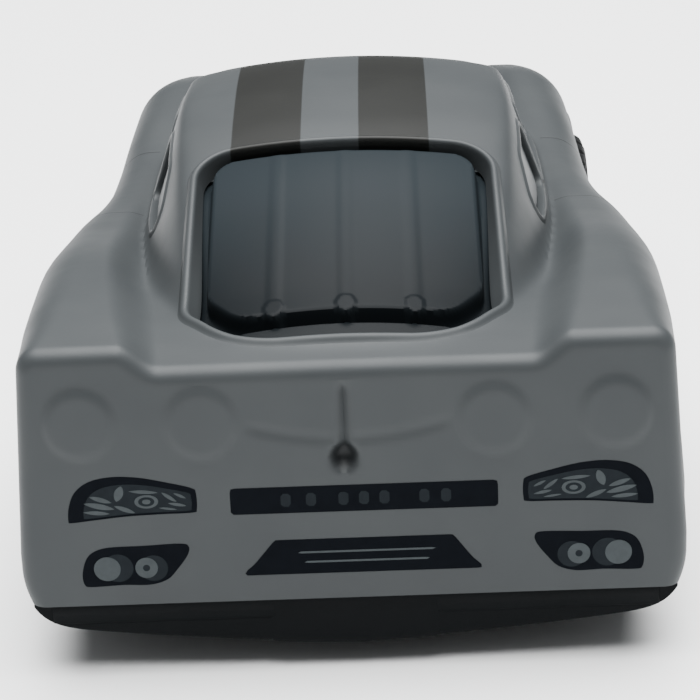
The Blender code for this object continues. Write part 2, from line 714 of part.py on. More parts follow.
def make_axle_gear():
    outline = gear_outline(AXLE_TEETH, direction(AXLE_C, CLUTCH_C))
    gear = plate("axle_gear", [outline, circle(AXLE_BORE_R, 12)], -1.6, 1.6, "x", AXLE_C)
    paint(gear, "white_nylon")


def clutch_phase():
    """A gap between two of the clutch gear's teeth faces the axle gear's tooth."""
    return direction(CLUTCH_C, AXLE_C) + math.pi / CLUTCH_TEETH


def make_clutch_gear():
    gear = plate("clutch_gear", [gear_outline(CLUTCH_TEETH, clutch_phase())], -1.2, 1.4, "x", CLUTCH_C)
    join(gear, cylinder("clutch_trunnions", TRUNNION_R, -BEARING_REACH, BEARING_REACH, CLUTCH_C, 12))
    paint(gear, "white_nylon")


def make_transfer_gear():
    """A wheel and a pinion in one, free on a fixed pin."""
    to_wheel = direction(CLUTCH_C, TRANSFER_C)
    clutch_pitch = 2 * math.pi / CLUTCH_TEETH
    # How far the clutch gear's teeth stand past the line of centres, as a share of a pitch.
    offset = ((to_wheel - clutch_phase()) / clutch_pitch) % 1
    phase = to_wheel + math.pi + (0.5 + offset) * 2 * math.pi / TRANSFER_TEETH
    bore = circle(PIN_R + 0.25, 12)
    gear = plate("transfer_gear", [gear_outline(TRANSFER_TEETH, phase), bore], -0.6, 1.2, "x", TRANSFER_C)
    pinion = [gear_outline(PINION_TEETH, direction(TRANSFER_C, SPRING_C)), bore]
    join(gear, plate("transfer_pinion", pinion, 0.9, 4.2, "x", TRANSFER_C))
    paint(gear, "white_nylon")
    pin = cylinder("transfer_pin", PIN_R, -BEARING_REACH, BEARING_REACH, TRANSFER_C, 10)
    paint(pin, "steel")


def make_spring_gear():
    """The gear and the arbor that the mainspring is wound on, in one."""
    phase = direction(SPRING_C, TRANSFER_C) + math.pi / SPRING_TEETH
    gear = plate("spring_gear", [gear_outline(SPRING_TEETH, phase)], 1.9, 3.8, "x", SPRING_C)
    join(gear, cylinder("spring_arbor", SPRING_ARBOR_R, -BEARING_REACH, BEARING_REACH, SPRING_C, 12))
    paint(gear, "white_nylon")


def make_mainspring():
    """A flat steel strip in a spiral about the arbor."""
    turns, strip = 5, 0.16
    inner, outer = 2.1, 5.0
    shares = np.linspace(0, 1, turns * 16 + 1)
    radii = inner + (outer - inner) * shares
    angles = 2 * math.pi * turns * shares
    outline = []
    for edge, order in ((strip / 2, 1), (-strip / 2, -1)):
        side = np.stack(((radii + edge) * np.cos(angles), (radii + edge) * np.sin(angles)), 1)
        outline += side[::order].tolist()
    spring = plate("mainspring", [outline], -4.3, -1.3, "x", SPRING_C)
    paint(spring, "steel")


def case_outline(grown):
    """Side view of the motor case, grown by an amount: tall over the clutch, lower over the spring."""
    corners = (
        (17.6 - grown, 3.5 - grown), (47.8 + grown, 3.5 - grown),
        (47.8 + grown, 18.8 + grown), (31.6 + grown, 20.6 + grown), (17.6 - grown, 20.6 + grown),
    )
    return rounded_outline(corners, 2.0 + grown)


def clutch_slot():
    """A short slot round the clutch gear's trunnion, along which it backs out of mesh."""
    radius, travel = TRUNNION_R + 0.15, 1.1
    away = math.radians(122)
    outline = []
    for end, shift in ((math.pi / 2, 0.0), (-math.pi / 2, travel)):
        centre = np.array((math.cos(away), math.sin(away))) * shift
        for angle in np.linspace(away + end, away + end + math.pi, 6):
            outline.append(centre + radius * np.array((math.cos(angle), math.sin(angle))))
    return outline


def make_motor_case():
    """A tub that holds the gears and the spring, closed by a lid; both carry the bearings."""
    inner_x = CASE_HALF_WIDTH - CASE_WALL
    case = plate("motor_case", [case_outline(0)], -CASE_HALF_WIDTH, inner_x - 0.15)
    cut(case, plate("case_hollow", [case_outline(-CASE_WALL)], -inner_x, 9))
    drum = [circle(6.0, 20), circle(5.4, 20)]
    join(case, plate("spring_drum", drum, -CASE_HALF_WIDTH + 0.2, -1.0, "x", SPRING_C))
    lid = plate("motor_lid", [case_outline(0)], inner_x, CASE_HALF_WIDTH)
    rib = [case_outline(-CASE_WALL - 0.25), case_outline(-CASE_WALL - 0.95)]
    join(lid, plate("lid_rib", rib, inner_x - 0.7, inner_x + 0.3))
    bearings = (
        ("axle", AXLE_C, AXLE_R + 0.2),
        ("transfer", TRANSFER_C, PIN_R + 0.15),
        ("spring", SPRING_C, SPRING_ARBOR_R + 0.2),
    )
    for name, centre, radius in bearings:
        cut(case, cylinder(f"case_bearing_{name}", radius, -7, -3.5, centre, 12))
        cut(lid, cylinder(f"lid_bearing_{name}", radius, 3, 7, centre, 12))
    cut(case, plate("case_slot", [clutch_slot()], -7, -3.5, "x", CLUTCH_C))
    cut(lid, plate("lid_slot", [clutch_slot()], 3, 7, "x", CLUTCH_C))
    paint(case, "grey_plastic")
    paint(lid, "grey_plastic")


clear_scene()
PARTS = collection("pull_back_car")
CUTTERS = collection("cutters")
make_body_shell()
make_window_insert()
make_chassis()
make_screws()
make_interior()
make_axles()
make_axle_gear()
make_clutch_gear()
make_transfer_gear()
make_spring_gear()
make_mainspring()
make_motor_case()
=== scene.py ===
# %% [markdown]
# # A pull back car, seen from behind
#
# The object is a small moulded toy car: a silver-grey body shell over a black chassis, with dark smoked
# windows, four wheels and a spring motor on the rear axle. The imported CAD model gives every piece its
# place. This file builds the fine surfaces that the eye reads, one piece at a time, and gives every
# piece a finish that starts from its real material. The darker finishes are set darker and duller than the
# bare plastics are, to suit the strong light of this studio.
#
# Sizes are in millimetres. Along the car they are stations: the distance forward from the tail.

import math

import bpy
import bmesh
import numpy as np
from mathutils import Matrix, Vector


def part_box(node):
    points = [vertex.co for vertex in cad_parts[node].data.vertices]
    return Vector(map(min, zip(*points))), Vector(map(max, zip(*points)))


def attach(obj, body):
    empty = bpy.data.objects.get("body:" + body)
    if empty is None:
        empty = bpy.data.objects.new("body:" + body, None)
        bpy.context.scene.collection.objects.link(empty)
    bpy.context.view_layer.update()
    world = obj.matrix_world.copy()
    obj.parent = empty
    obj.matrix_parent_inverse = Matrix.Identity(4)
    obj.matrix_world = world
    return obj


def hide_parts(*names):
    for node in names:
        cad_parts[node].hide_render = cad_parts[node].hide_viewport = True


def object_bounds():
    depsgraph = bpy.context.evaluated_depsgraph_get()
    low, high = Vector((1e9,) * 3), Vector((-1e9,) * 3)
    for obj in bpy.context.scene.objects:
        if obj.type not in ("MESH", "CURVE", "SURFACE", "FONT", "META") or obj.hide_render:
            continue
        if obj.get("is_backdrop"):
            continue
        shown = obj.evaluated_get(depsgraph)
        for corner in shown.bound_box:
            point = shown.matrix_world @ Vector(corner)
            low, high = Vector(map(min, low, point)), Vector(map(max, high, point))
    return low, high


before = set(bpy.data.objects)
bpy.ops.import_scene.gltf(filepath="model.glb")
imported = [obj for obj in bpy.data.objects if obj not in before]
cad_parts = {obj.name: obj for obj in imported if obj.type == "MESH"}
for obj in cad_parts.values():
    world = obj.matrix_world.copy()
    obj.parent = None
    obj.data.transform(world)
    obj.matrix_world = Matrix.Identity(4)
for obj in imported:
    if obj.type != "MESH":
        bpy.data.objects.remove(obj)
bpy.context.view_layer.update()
MM = 0.001


def node_box(name):
    """A CAD node's lowest and highest corner, in millimetres."""
    low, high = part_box(name)
    return np.array(low) / MM, np.array(high) / MM


shell_low, shell_high = node_box("body_shell")
TAIL_Y = shell_low[1]
LENGTH = shell_high[1] - shell_low[1]
SKIRT_Z = shell_low[2]
print("the shell is", np.round(shell_high - shell_low, 2), "mm, and its skirt is at", round(SKIRT_Z, 2))

# %% [markdown]
# ## The camera
#
# The car is looked at from close behind and above, through a long lens, so its tail looms and its nose
# shrinks. A camera is a place and three directions. The forward direction comes from a heading and a
# dip, and the picture is then turned a little about it, because the viewer's horizon wasn't level.

# %% Camera
CAMERA_PLACE = (4.66, TAIL_Y - 199.74, 113.96)
CAMERA_HEADING = math.radians(-1.2)
CAMERA_DIP = math.radians(22.92)
CAMERA_ROLL = math.radians(2.51)

forward = Vector(
    (
        math.sin(CAMERA_HEADING) * math.cos(CAMERA_DIP),
        math.cos(CAMERA_HEADING) * math.cos(CAMERA_DIP),
        -math.sin(CAMERA_DIP),
    )
)
level_right = Vector((math.cos(CAMERA_HEADING), -math.sin(CAMERA_HEADING), 0))
level_up = level_right.cross(forward)
picture_right = level_right * math.cos(CAMERA_ROLL) - level_up * math.sin(CAMERA_ROLL)
picture_up = level_right * math.sin(CAMERA_ROLL) + level_up * math.cos(CAMERA_ROLL)
turn = Matrix((picture_right, picture_up, -forward)).transposed()

camera_data = bpy.data.cameras.new("camera")
camera_data.lens = 137.9
camera_data.sensor_width = 36
camera = bpy.data.objects.new("camera", camera_data)
camera.matrix_world = Matrix.Translation(Vector(CAMERA_PLACE) * MM) @ turn.to_4x4()
bpy.context.scene.collection.objects.link(camera)
bpy.context.scene.camera = camera
print("the camera is", round((Vector(CAMERA_PLACE) - Vector((0, 0, 18))).length), "mm from the car's middle")

# %% [markdown]
# ## Helpers for materials
#
# A finish is a small network of nodes. `node` adds one, sets its values and links its inputs, so a
# material reads as a short list. Colours are written as the sRGB hex values that a paint chart would
# give, and `linear` turns them into the light amounts that the shader wants.

# %% Material helpers


def linear(hex_colour):
    """An sRGB hex colour as linear RGBA: c / 12.92 near black, else ((c + 0.055) / 1.055) ** 2.4."""
    channels = [int(hex_colour[i : i + 2], 16) / 255 for i in (1, 3, 5)]
    return [c / 12.92 if c <= 0.04045 else ((c + 0.055) / 1.055) ** 2.4 for c in channels] + [1.0]


def node(tree, kind, settings=None, **inputs):
    """Adds a node, with settings for its properties and a value or a link for each named input."""
    made = tree.nodes.new("ShaderNode" + kind)
    for name, value in (settings or {}).items():
        setattr(made, name, value)
    for name, value in inputs.items():
        by_number = name[0] == "i" and name[1:].isdigit()
        socket = made.inputs[int(name[1:]) if by_number else name.replace("_", " ")]
        if isinstance(value, bpy.types.NodeSocket):
            tree.links.new(value, socket)
        else:
            socket.default_value = value
    return made


def maths(tree, operation, *values, clamp=False):
    """One sum on numbers or links; gives its result's socket."""
    inputs = {f"i{k}": value for k, value in enumerate(values)}
    return node(tree, "Math", {"operation": operation, "use_clamp": clamp}, **inputs).outputs[0]


def material(name, colour, roughness, metallic=0.0, **sockets):
    """A Principled material with constant values on its own sockets; gives it, its tree and its shader."""
    made = bpy.data.materials.new(name)
    made.use_nodes = True
    shader = made.node_tree.nodes["Principled BSDF"]
    shader.inputs["Base Color"].default_value = linear(colour)
    shader.inputs["Roughness"].default_value = roughness
    shader.inputs["Metallic"].default_value = metallic
    for socket, value in sockets.items():
        shader.inputs[socket.replace("_", " ")].default_value = value
    return made, made.node_tree, shader


def object_place(tree):
    """The three coordinates of a point in metres, as sockets."""
    place = node(tree, "TexCoord").outputs["Object"]
    return place, node(tree, "SeparateXYZ", Vector=place).outputs


def noise(tree, grain_mm, detail=2.0, **more):
    """Soft noise whose blobs are about grain_mm across; gives its value's socket."""
    place = node(tree, "TexCoord").outputs["Object"]
    scale = 1 / (grain_mm * MM)
    return node(tree, "TexNoise", Vector=place, Scale=scale, Detail=detail, **more).outputs["Fac"]


def grain(tree, shader, grain_mm, height_mm, strength=0.5):
    """A fine bump on the shader's normal, as a moulding tool leaves."""
    bump = node(tree, "Bump", Strength=strength, Distance=height_mm * MM, Height=noise(tree, grain_mm))
    tree.links.new(bump.outputs["Normal"], shader.inputs["Normal"])
    return bump


def blend(tree, share, under, over):
    """Two colours, each a hex value or a link, mixed by a share; gives the colour's socket."""
    mix = tree.nodes.new("ShaderNodeMix")
    mix.data_type = "RGBA"
    for socket, value in ((mix.inputs[0], share), (mix.inputs[6], under), (mix.inputs[7], over)):
        if isinstance(value, bpy.types.NodeSocket):
            tree.links.new(value, socket)
        else:
            socket.default_value = linear(value) if isinstance(value, str) else value
    return mix.outputs[2]


def mottle(tree, shader, darker, lighter, grain_mm, detail=3.0):
    """A slow drift between two close colours over the surface."""
    colour = blend(tree, noise(tree, grain_mm, detail), darker, lighter)
    tree.links.new(colour, shader.inputs["Base Color"])
    return colour

# %% [markdown]
# ## Helpers for surfaces
#
# Every new piece is a grid of points that a formula gives. A patch is such a grid with the cells that
# are kept, and a piece gathers its patches into one mesh. Cells that would be lines or points, as at
# the middle of a disc, close up when doubles are merged.

# %% Surface helpers


def patch(points, wrap_rows=False, wrap_columns=False, keep=None, flip=False):
    """(points, quads) of a grid of shape (rows, columns, 3); a wrapped side joins its end to its start."""
    points = np.asarray(points, float)
    rows, columns = points.shape[:2]
    index = np.arange(rows * columns).reshape(rows, columns)
    if wrap_rows:
        index = np.vstack((index, index[:1]))
    if wrap_columns:
        index = np.hstack((index, index[:, :1]))
    quads = np.stack((index[:-1, :-1], index[:-1, 1:], index[1:, 1:], index[1:, :-1]), -1)
    quads = quads.reshape(-1, 4)
    quads = quads if keep is None else quads[keep]
    return points.reshape(-1, 3), quads[:, ::-1] if flip else quads


def piece(name, patches, body, finish, stands_for=(), merge=0.0005, smooth_angle=35):
    """Gathers patches in millimetres into one mesh that rides on a CAD body."""
    starts = np.cumsum([0] + [len(points) for points, _ in patches])
    points = np.concatenate([points for points, _ in patches])
    quads = np.concatenate([quads + start for (_, quads), start in zip(patches, starts)])
    mesh = bpy.data.meshes.new(name)
    mesh.from_pydata((points * MM).tolist(), [], quads.tolist())
    shape = bmesh.new()
    shape.from_mesh(mesh)
    bmesh.ops.remove_doubles(shape, verts=shape.verts, dist=merge * MM)
    bmesh.ops.delete(shape, geom=[v for v in shape.verts if not v.link_faces], context="VERTS")
    shape.to_mesh(mesh)
    shape.free()
    mesh.shade_smooth()
    mesh.set_sharp_from_angle(angle=math.radians(smooth_angle))
    mesh.materials.append(finish)
    made = bpy.data.objects.new(name, mesh)
    bpy.context.scene.collection.objects.link(made)
    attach(made, body)
    if stands_for:
        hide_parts(*stands_for)
    print(f"{name}: {len(mesh.polygons)} faces")
    return made


def turned(profile, centre, sides=96, side=1):
    """A profile of (depth along X, radius) pairs carried round an axis along X through centre (x, y, z)."""
    profile = np.asarray(profile, float)
    angle = np.linspace(0, 2 * math.pi, sides, endpoint=False)
    x = np.broadcast_to(centre[0] + side * profile[:, :1], (len(profile), sides))
    y = centre[1] + profile[:, 1:] * np.cos(angle)
    z = centre[2] + profile[:, 1:] * np.sin(angle)
    return patch(np.stack((x, y, z), -1), wrap_columns=True, flip=side < 0)


def smooth_profile(points, steps=6):
    """A smooth curve through a few (a, b) points, Catmull-Rom: cubics whose slopes are half the chord."""
    points = np.asarray(points, float)
    ends = np.vstack((2 * points[0] - points[1], points, 2 * points[-1] - points[-2]))
    u = np.linspace(0, 1, steps, endpoint=False)[:, None]
    a, b, c, d = (ends[k : len(ends) - 3 + k, None, :] for k in range(4))
    curve = 0.5 * (2 * b + (c - a) * u + (2 * a - 5 * b + 4 * c - d) * u**2 + (3 * b - a - 3 * c + d) * u**3)
    return np.vstack((curve.reshape(-1, points.shape[1]), points[-1:]))


# %% [markdown]
# ## The car's lines
#
# The body is drawn as a boat is: a few lines say how wide and how high it is at each station. Fenders
# stand above a lower deck, and the cabin stands on the deck. Where two of these meet, a smooth maximum
# or minimum leaves a fillet like the one that the mould's cutter leaves.

# %% Design lines


def design_line(*points):
    """A smooth curve through (station, value) pairs that never overshoots: cubics with harmonic slopes."""
    stations, values = np.array(points, float).T
    steps = np.diff(stations)
    rises = np.diff(values) / steps
    same_way = rises[:-1] * rises[1:] > 0
    total = np.where(same_way, rises[:-1] + rises[1:], 1.0)
    slopes = np.concatenate(
        ([rises[0]], np.where(same_way, 2 * rises[:-1] * rises[1:] / total, 0.0), [rises[-1]])
    )

    def at(station):
        place = np.clip(station, stations[0], stations[-1])
        i = np.clip(np.searchsorted(stations, place, side="right") - 1, 0, len(steps) - 1)
        u = (place - stations[i]) / steps[i]
        start = (1 + 2 * u) * (1 - u) ** 2 * values[i] + u * (1 - u) ** 2 * steps[i] * slopes[i]
        end = u**2 * (3 - 2 * u) * values[i + 1] - u**2 * (1 - u) * steps[i] * slopes[i + 1]
        return start + end

    return at


HALF_WIDTH = design_line(
    (0, 27.9), (12, 28.6), (26, 28.9), (42, 27.5), (58, 25.1), (74, 24.6),
    (86, 24.4), (96, 22.9), (104, 20.4), (109.5, 17.2), (112, 14.0),
)
SHOULDER_R = design_line(
    (0, 1.6), (8, 3.4), (24, 4.6), (45, 3.6), (70, 3.6), (88, 4.6), (104, 4.0), (112, 2.6)
)
FENDER_TOP = design_line(
    (0, 30.1), (10, 30.3), (22, 29.7), (38, 27.1), (52, 25.3), (66, 24.9),
    (78, 25.3), (86, 25.4), (97, 23.4), (106, 19.5), (112, 15.9),
)
FENDER_CROWN_X = design_line(
    (0, 19.2), (10, 21.2), (26, 22.6), (60, 21.2), (88, 19.0), (104, 14.0), (112, 8.0)
)
DECK_TOP = design_line(
    (0, 28.1), (8, 28.3), (24, 26.7), (45, 25.1), (66, 24.3), (78, 23.9), (92, 21.5), (104, 18.1), (112, 15.3)
)
DECK_EDGE_X = design_line((0, 15.6), (10, 16.4), (26, 18.4), (60, 18.6), (78, 14.5), (92, 11.5), (112, 4.0))
ROOF_TOP = design_line(
    (0, 25.5), (4.6, 28.7), (12, 31.1), (22, 34.0), (31, 36.2), (38, 37.3), (47, 37.8),
    (56, 37.2), (62, 34.9), (70, 29.7), (77, 24.9), (86, 20.5),
)
CABIN_BASE_X = design_line((0, 13.4), (6, 14.4), (24, 18.9), (40, 20.4), (60, 20.4), (72, 19.4), (84, 17.0))
CABIN_TOP_X = design_line(
    (0, 12.6), (8, 13.6), (22, 15.0), (31, 15.9), (45, 16.6), (58, 16.2), (72, 15.6), (84, 14.6)
)
ROOF_CROWN, BELT_DROP = 1.5, 1.2
CABIN_EDGE_R, CABIN_FOOT_R = 1.6, 0.9
LEAN_START_Z, LEAN = 11.5, 0.0022
TUCK_START_Z, TUCK = 10.0, 0.6
TAIL_EDGE_R, NOSE_EDGE_R = 1.4, 3.0


def smooth_step(u):
    """0 below 0, 1 above 1, and 3u² - 2u³ between."""
    u = np.clip(u, 0, 1)
    return u * u * (3 - 2 * u)


def smooth_max(a, b, radius):
    """The larger of two heights, with a fillet of about that radius where they cross."""
    return 0.5 * (a + b + np.sqrt((a - b) ** 2 + radius**2))


def upper_skin(x, y):
    """Height of the outer skin: fenders falling to the deck, with the cabin standing on them."""
    x = np.abs(x)
    edge = DECK_EDGE_X(y)
    rise = smooth_step((x - edge) / (FENDER_CROWN_X(y) - edge))
    lower_body = DECK_TOP(y) + (FENDER_TOP(y) - DECK_TOP(y)) * rise
    roof, belt = ROOF_TOP(y), DECK_TOP(y) - BELT_DROP
    base_x, top_x = CABIN_BASE_X(y), CABIN_TOP_X(y)
    roof_skin = roof - ROOF_CROWN * (x / top_x) ** 2
    side_skin = belt + (base_x - x) * np.maximum(roof - ROOF_CROWN - belt, 0.5) / (base_x - top_x)
    cabin = -smooth_max(-roof_skin, -side_skin, CABIN_EDGE_R)
    return smooth_max(lower_body, cabin, CABIN_FOOT_R)


def lean_in(x, z):
    """The sides lean in a little above the widest level."""
    return x * (1 - LEAN * np.maximum(z - LEAN_START_Z, 0))


def nose_back(x, y, z):
    """How far the nose is drawn back towards its sides, its top and its foot."""
    reach = np.clip((y - 96) / (LENGTH - 96), 0, 1) ** 2
    return reach * (3.4 * (x / 16) ** 2 + 1.6 * (np.maximum(np.abs(z - 10.0) - 1.2, 0) / 5) ** 2)


def to_car(x, y, z):
    """Stations to the car's own frame: the nose is drawn back, and the tail is at TAIL_Y."""
    x, y, z = np.broadcast_arrays(x, y, z)
    return np.stack((x, y - nose_back(x, y, z) + TAIL_Y, z), -1)


def on_top(x, y):
    """The point of the skin over a place in plan."""
    z = upper_skin(x, y)
    return to_car(lean_in(x, z), y, z)


print("cabin height over the deck at its middle:", round(float(ROOF_TOP(47.0) - DECK_TOP(47.0)), 2), "mm")

# %% [markdown]
# ## Places on the sides
#
# A window in the cabin's side and a wheel arch are drawn in side view. To put such an outline on the
# body, each of its points needs the width of the skin at that height. On the cabin that is found by
# halving an interval until the skin's height matches. Below, the side is a plain wall with a rounded
# shoulder.

# %% The skin in side view


def on_cabin_side(y, z, side):
    """The cabin's skin at a height: the x where upper_skin is z, by 24 halvings."""
    y, z = np.broadcast_arrays(np.asarray(y, float), np.asarray(z, float))
    inner, outer = np.full(y.shape, 4.0), CABIN_BASE_X(y) - 0.1
    for _ in range(24):
        middle = (inner + outer) / 2
        above = upper_skin(middle, y) > z
        inner, outer = np.where(above, middle, inner), np.where(above, outer, middle)
    return to_car(side * lean_in(inner, z), y, z)


def on_body_side(y, z, side):
    """The wall below the shoulder: the half width, less the tuck near the foot, rounded in at the top."""
    y, z = np.broadcast_arrays(np.asarray(y, float), np.asarray(z, float))
    half, radius = HALF_WIDTH(y), SHOULDER_R(y)
    start_z = upper_skin(half, y) - radius
    over = np.clip(z - start_z, 0, radius * 0.98)
    tuck = TUCK * np.clip((TUCK_START_Z - z) / (TUCK_START_Z - SKIRT_Z), 0, 1) ** 2
    x = half - tuck - radius + np.sqrt(radius**2 - over**2)
    return to_car(side * lean_in(x, z), y, z)


def normals_at(place, a, b, step=0.05):
    """Unit normals of a surface place(a, b), from the cross product of its two slopes."""
    across = place(a + step, b) - place(a - step, b)
    along = place(a, b + step) - place(a, b - step)
    normal = np.cross(across, along)
    return normal / np.linalg.norm(normal, axis=-1, keepdims=True)


print("half width of the body at the rear axle:", round(float(on_body_side(22.0, 12.0, 1)[0]), 2))

# %% [markdown]
# ## Openings
#
# A window's outline is a polygon with rounded corners. Its signed distance tells which cells of the
# skin to leave out. The rough edge that this leaves is covered by a raised rim that follows the exact
# outline, as the real shell has: a rim stiffens the edge of an opening and hides the window's edge.

# %% Outlines and rims


def rounded(corners, radii, spacing=0.35):
    """A closed outline through corners, counter-clockwise, each rounded by an arc of its own radius."""
    corners = np.asarray(corners, float)
    points = []
    for k, corner in enumerate(corners):
        to_last = corners[k - 1] - corner
        to_next = corners[(k + 1) % len(corners)] - corner
        to_last /= np.linalg.norm(to_last)
        to_next /= np.linalg.norm(to_next)
        half_angle = math.acos(np.clip(to_last @ to_next, -1, 1)) / 2
        radius = radii[k] if np.iterable(radii) else radii
        halfway = to_last + to_next
        middle = corner + halfway / np.linalg.norm(halfway) * radius / math.sin(half_angle)
        start = corner + to_last * radius / math.tan(half_angle) - middle
        turn = math.pi - 2 * half_angle
        bend = np.sign(to_last[0] * to_next[1] - to_last[1] * to_next[0]) * -1
        angles = np.linspace(0, turn * bend, max(4, int(turn * radius / spacing)))
        spun = np.stack((np.cos(angles), np.sin(angles)), -1)
        points.append(middle + np.outer(spun[:, 0], start) + np.outer(spun[:, 1], (-start[1], start[0])))
    return evenly(np.concatenate(points), spacing)


def evenly(points, spacing, closed=True):
    """The same line with points at equal distances along it."""
    line = np.vstack((points, points[:1])) if closed else points
    run = np.concatenate(([0], np.cumsum(np.linalg.norm(np.diff(line, axis=0), axis=1))))
    count = int(run[-1] / spacing)
    places = np.linspace(0, run[-1], count, endpoint=not closed)
    return np.stack([np.interp(places, run, line[:, k]) for k in range(line.shape[1])], -1)


def outward(outline, closed=True):
    """Unit normals in the plane, to the right of the way along a counter-clockwise outline."""
    if closed:
        along = np.roll(outline, -1, 0) - np.roll(outline, 1, 0)
    else:
        along = np.gradient(outline, axis=0)
    normal = np.stack((along[:, 1], -along[:, 0]), -1)
    return normal / np.linalg.norm(normal, axis=-1, keepdims=True)


def distance(a, b, outline):
    """Signed distance in the plane to a closed outline: negative inside, by the even-odd rule."""
    start, end = outline, np.roll(outline, -1, 0)
    reach = end - start
    nearest = np.full(a.shape, 1e9)
    inside = np.zeros(a.shape, bool)
    for (sa, sb), (ra, rb) in zip(start, reach):
        share = np.clip(((a - sa) * ra + (b - sb) * rb) / (ra * ra + rb * rb), 0, 1)
        nearest = np.minimum(nearest, np.hypot(a - sa - share * ra, b - sb - share * rb))
        crosses = (sb > b) != (sb + rb > b)
        inside ^= crosses & (a < sa + ra * (b - sb) / np.where(rb == 0, 1, rb))
    return np.where(inside, -nearest, nearest)


def rim(outline, profile, place, flip=False, closed=True):
    """A profile of (distance outwards, height) pairs carried along an outline on a surface."""
    sideways = outward(outline, closed)
    grid = []
    for out, up in profile:
        a, b = (outline + out * sideways).T
        grid.append(place(a, b) + up * normals_at(place, a, b) * (-1 if flip else 1))
    return patch(np.array(grid), wrap_columns=closed, flip=not flip)


REAR_WINDOW = rounded(
    ((-9.4, 4.6), (9.4, 4.6), (13.9, 10.4), (13.9, 32.2), (-13.9, 32.2), (-13.9, 10.4)),
    (8, 8, 4, 3.4, 3.4, 4),
)
WINDSCREEN = rounded(((-14.4, 59.4), (14.4, 59.4), (15.6, 76.0), (-15.6, 76.0)), 2.6)
DOOR_WINDOW = rounded(((47.2, 26.9), (66.0, 26.1), (61.0, 32.7), (47.2, 33.9)), (1.0, 1.2, 2.4, 1.2))
QUARTER_WINDOW = rounded(((29.4, 28.5), (44.8, 27.3), (44.8, 33.7), (36.0, 32.9)), (1.4, 1.0, 1.2, 2.6))
print("points round the rear window:", len(REAR_WINDOW))

# %% [markdown]
# ## The body shell
#
# The shell is a loft: at each station a section climbs from the skirt's inside edge up the side, over
# the shoulder and across to the other side. The tail is a nearly flat wall, joined to the sides by a
# small round edge. Its moulded relief is faint: four round lamp bosses, a dipping seam and a groove that
# ends in a round dimple. A patch that blends its four edges (a Coons patch) fills the wall, and the
# relief then moves its points.

# %% Sections of the shell
SHELL_WALL = 1.5
SIDE_STEPS, ARC_STEPS, EDGE_STEPS = 56, 13, 9
TOP_SHARES = np.linspace(1, 0, 84)


def sections(y, inset, foot_z, side_steps, arc_steps, top_shares):
    """Half sections at stations y: up the side, over the shoulder and in to the middle, as (x, z)."""
    y = np.asarray(y, float)[:, None]
    half = HALF_WIDTH(y) - inset
    radius = np.maximum(SHOULDER_R(y) - inset, 0.8)

    def skin(x):
        return np.minimum(upper_skin(x, y), upper_skin(np.abs(x) + inset, y)) - inset

    angles = np.linspace(0, math.pi / 2, arc_steps)
    arc_x = half - radius + radius * np.cos(angles)
    arc_z = skin(arc_x) - radius + radius * np.sin(angles)
    side_z = foot_z + (arc_z[:, :1] - foot_z) * np.linspace(0, 1, side_steps)[:-1]
    tuck = TUCK * np.clip((TUCK_START_Z - side_z) / (TUCK_START_Z - SKIRT_Z), 0, 1) ** 2
    top_x = (half - radius) * top_shares[1:]
    x = np.hstack((half - tuck, arc_x, top_x))
    z = np.hstack((side_z, arc_z, skin(top_x)))
    return np.stack((lean_in(x, z), z), -1)


def drawn_in(section, amount):
    """A section moved inwards along its own normals, with its foot kept at its height."""
    along = np.gradient(section, axis=0)
    normal = np.stack((along[:, 1], -along[:, 0]), -1)
    normal /= np.linalg.norm(normal, axis=1, keepdims=True)
    normal[0] = (1, 0)
    normal[-1] = (0, 1)
    return section - amount * normal


def hull(y, inset, foot_z, tail_edge, nose_edge, steps):
    """Whole sections with quarter-round ends: (station, x, z) of each ring, from left foot to right foot."""
    halves = list(sections(y, inset, foot_z, *steps))
    stations = list(y)
    tail, nose = halves[0], halves[-1]
    for angle in np.linspace(0, math.pi / 2, EDGE_STEPS)[1:]:
        shrink, travel = 1 - math.cos(angle), math.sin(angle)
        halves.insert(0, drawn_in(tail, tail_edge * shrink))
        stations.insert(0, y[0] - tail_edge * travel)
        halves.append(drawn_in(nose, nose_edge * shrink))
        stations.append(y[-1] + nose_edge * travel)
    halves = np.array(halves)
    ring = np.concatenate((halves * (-1, 1), halves[:, -2::-1]), axis=1)
    return np.array(stations), ring[..., 0], ring[..., 1]


def wall_between(x, z, side_steps):
    """A Coons patch inside an end ring: the sum of its two straight blends less the blend of its corners."""
    left = np.stack((x[: side_steps + 1], z[: side_steps + 1]), -1)[:, None]
    right = np.stack((x[::-1][: side_steps + 1], z[::-1][: side_steps + 1]), -1)[:, None]
    top = np.stack((x, z), -1)[side_steps : len(x) - side_steps][None]
    u = np.linspace(0, 1, top.shape[1])[None, :, None]
    v = np.linspace(0, 1, side_steps + 1)[:, None, None]
    foot = left[:1] * (1 - u) + right[:1] * u
    corners = foot * (1 - v) + (top[:, :1] * (1 - u) + top[:, -1:] * u) * v
    return left * (1 - u) + right * u + foot * (1 - v) + top * v - corners


def tail_relief(x, z):
    """Height of the tail's moulding: round bosses with soft edges, a groove, a dimple and a dipping seam."""
    height = np.zeros(x.shape)
    for boss_x, boss_z in ((22.0, 23.2), (12.0, 23.0), (-12.0, 23.4), (-22.0, 23.6)):
        height += 0.3 * smooth_step((3.3 - np.hypot(x - boss_x, (z - boss_z) * 0.95)) / 0.9)
    groove = np.exp(-(((x + 0.3) / 0.42) ** 2)) * smooth_step((z - 20.2) / 0.8)
    groove = groove * smooth_step((27.2 - z) / 1.6)
    dimple = smooth_step((1.5 - np.hypot(x + 0.4, z - 19.9)) / 1.1)
    seam_z = 21.6 + 1.5 * (x / 8.8) ** 2
    seam = np.exp(-(((z - seam_z) / 0.45) ** 2)) * smooth_step((9.0 - np.abs(x)) / 1.5)
    return height - 0.5 * groove - 1.1 * dimple - 0.16 * seam


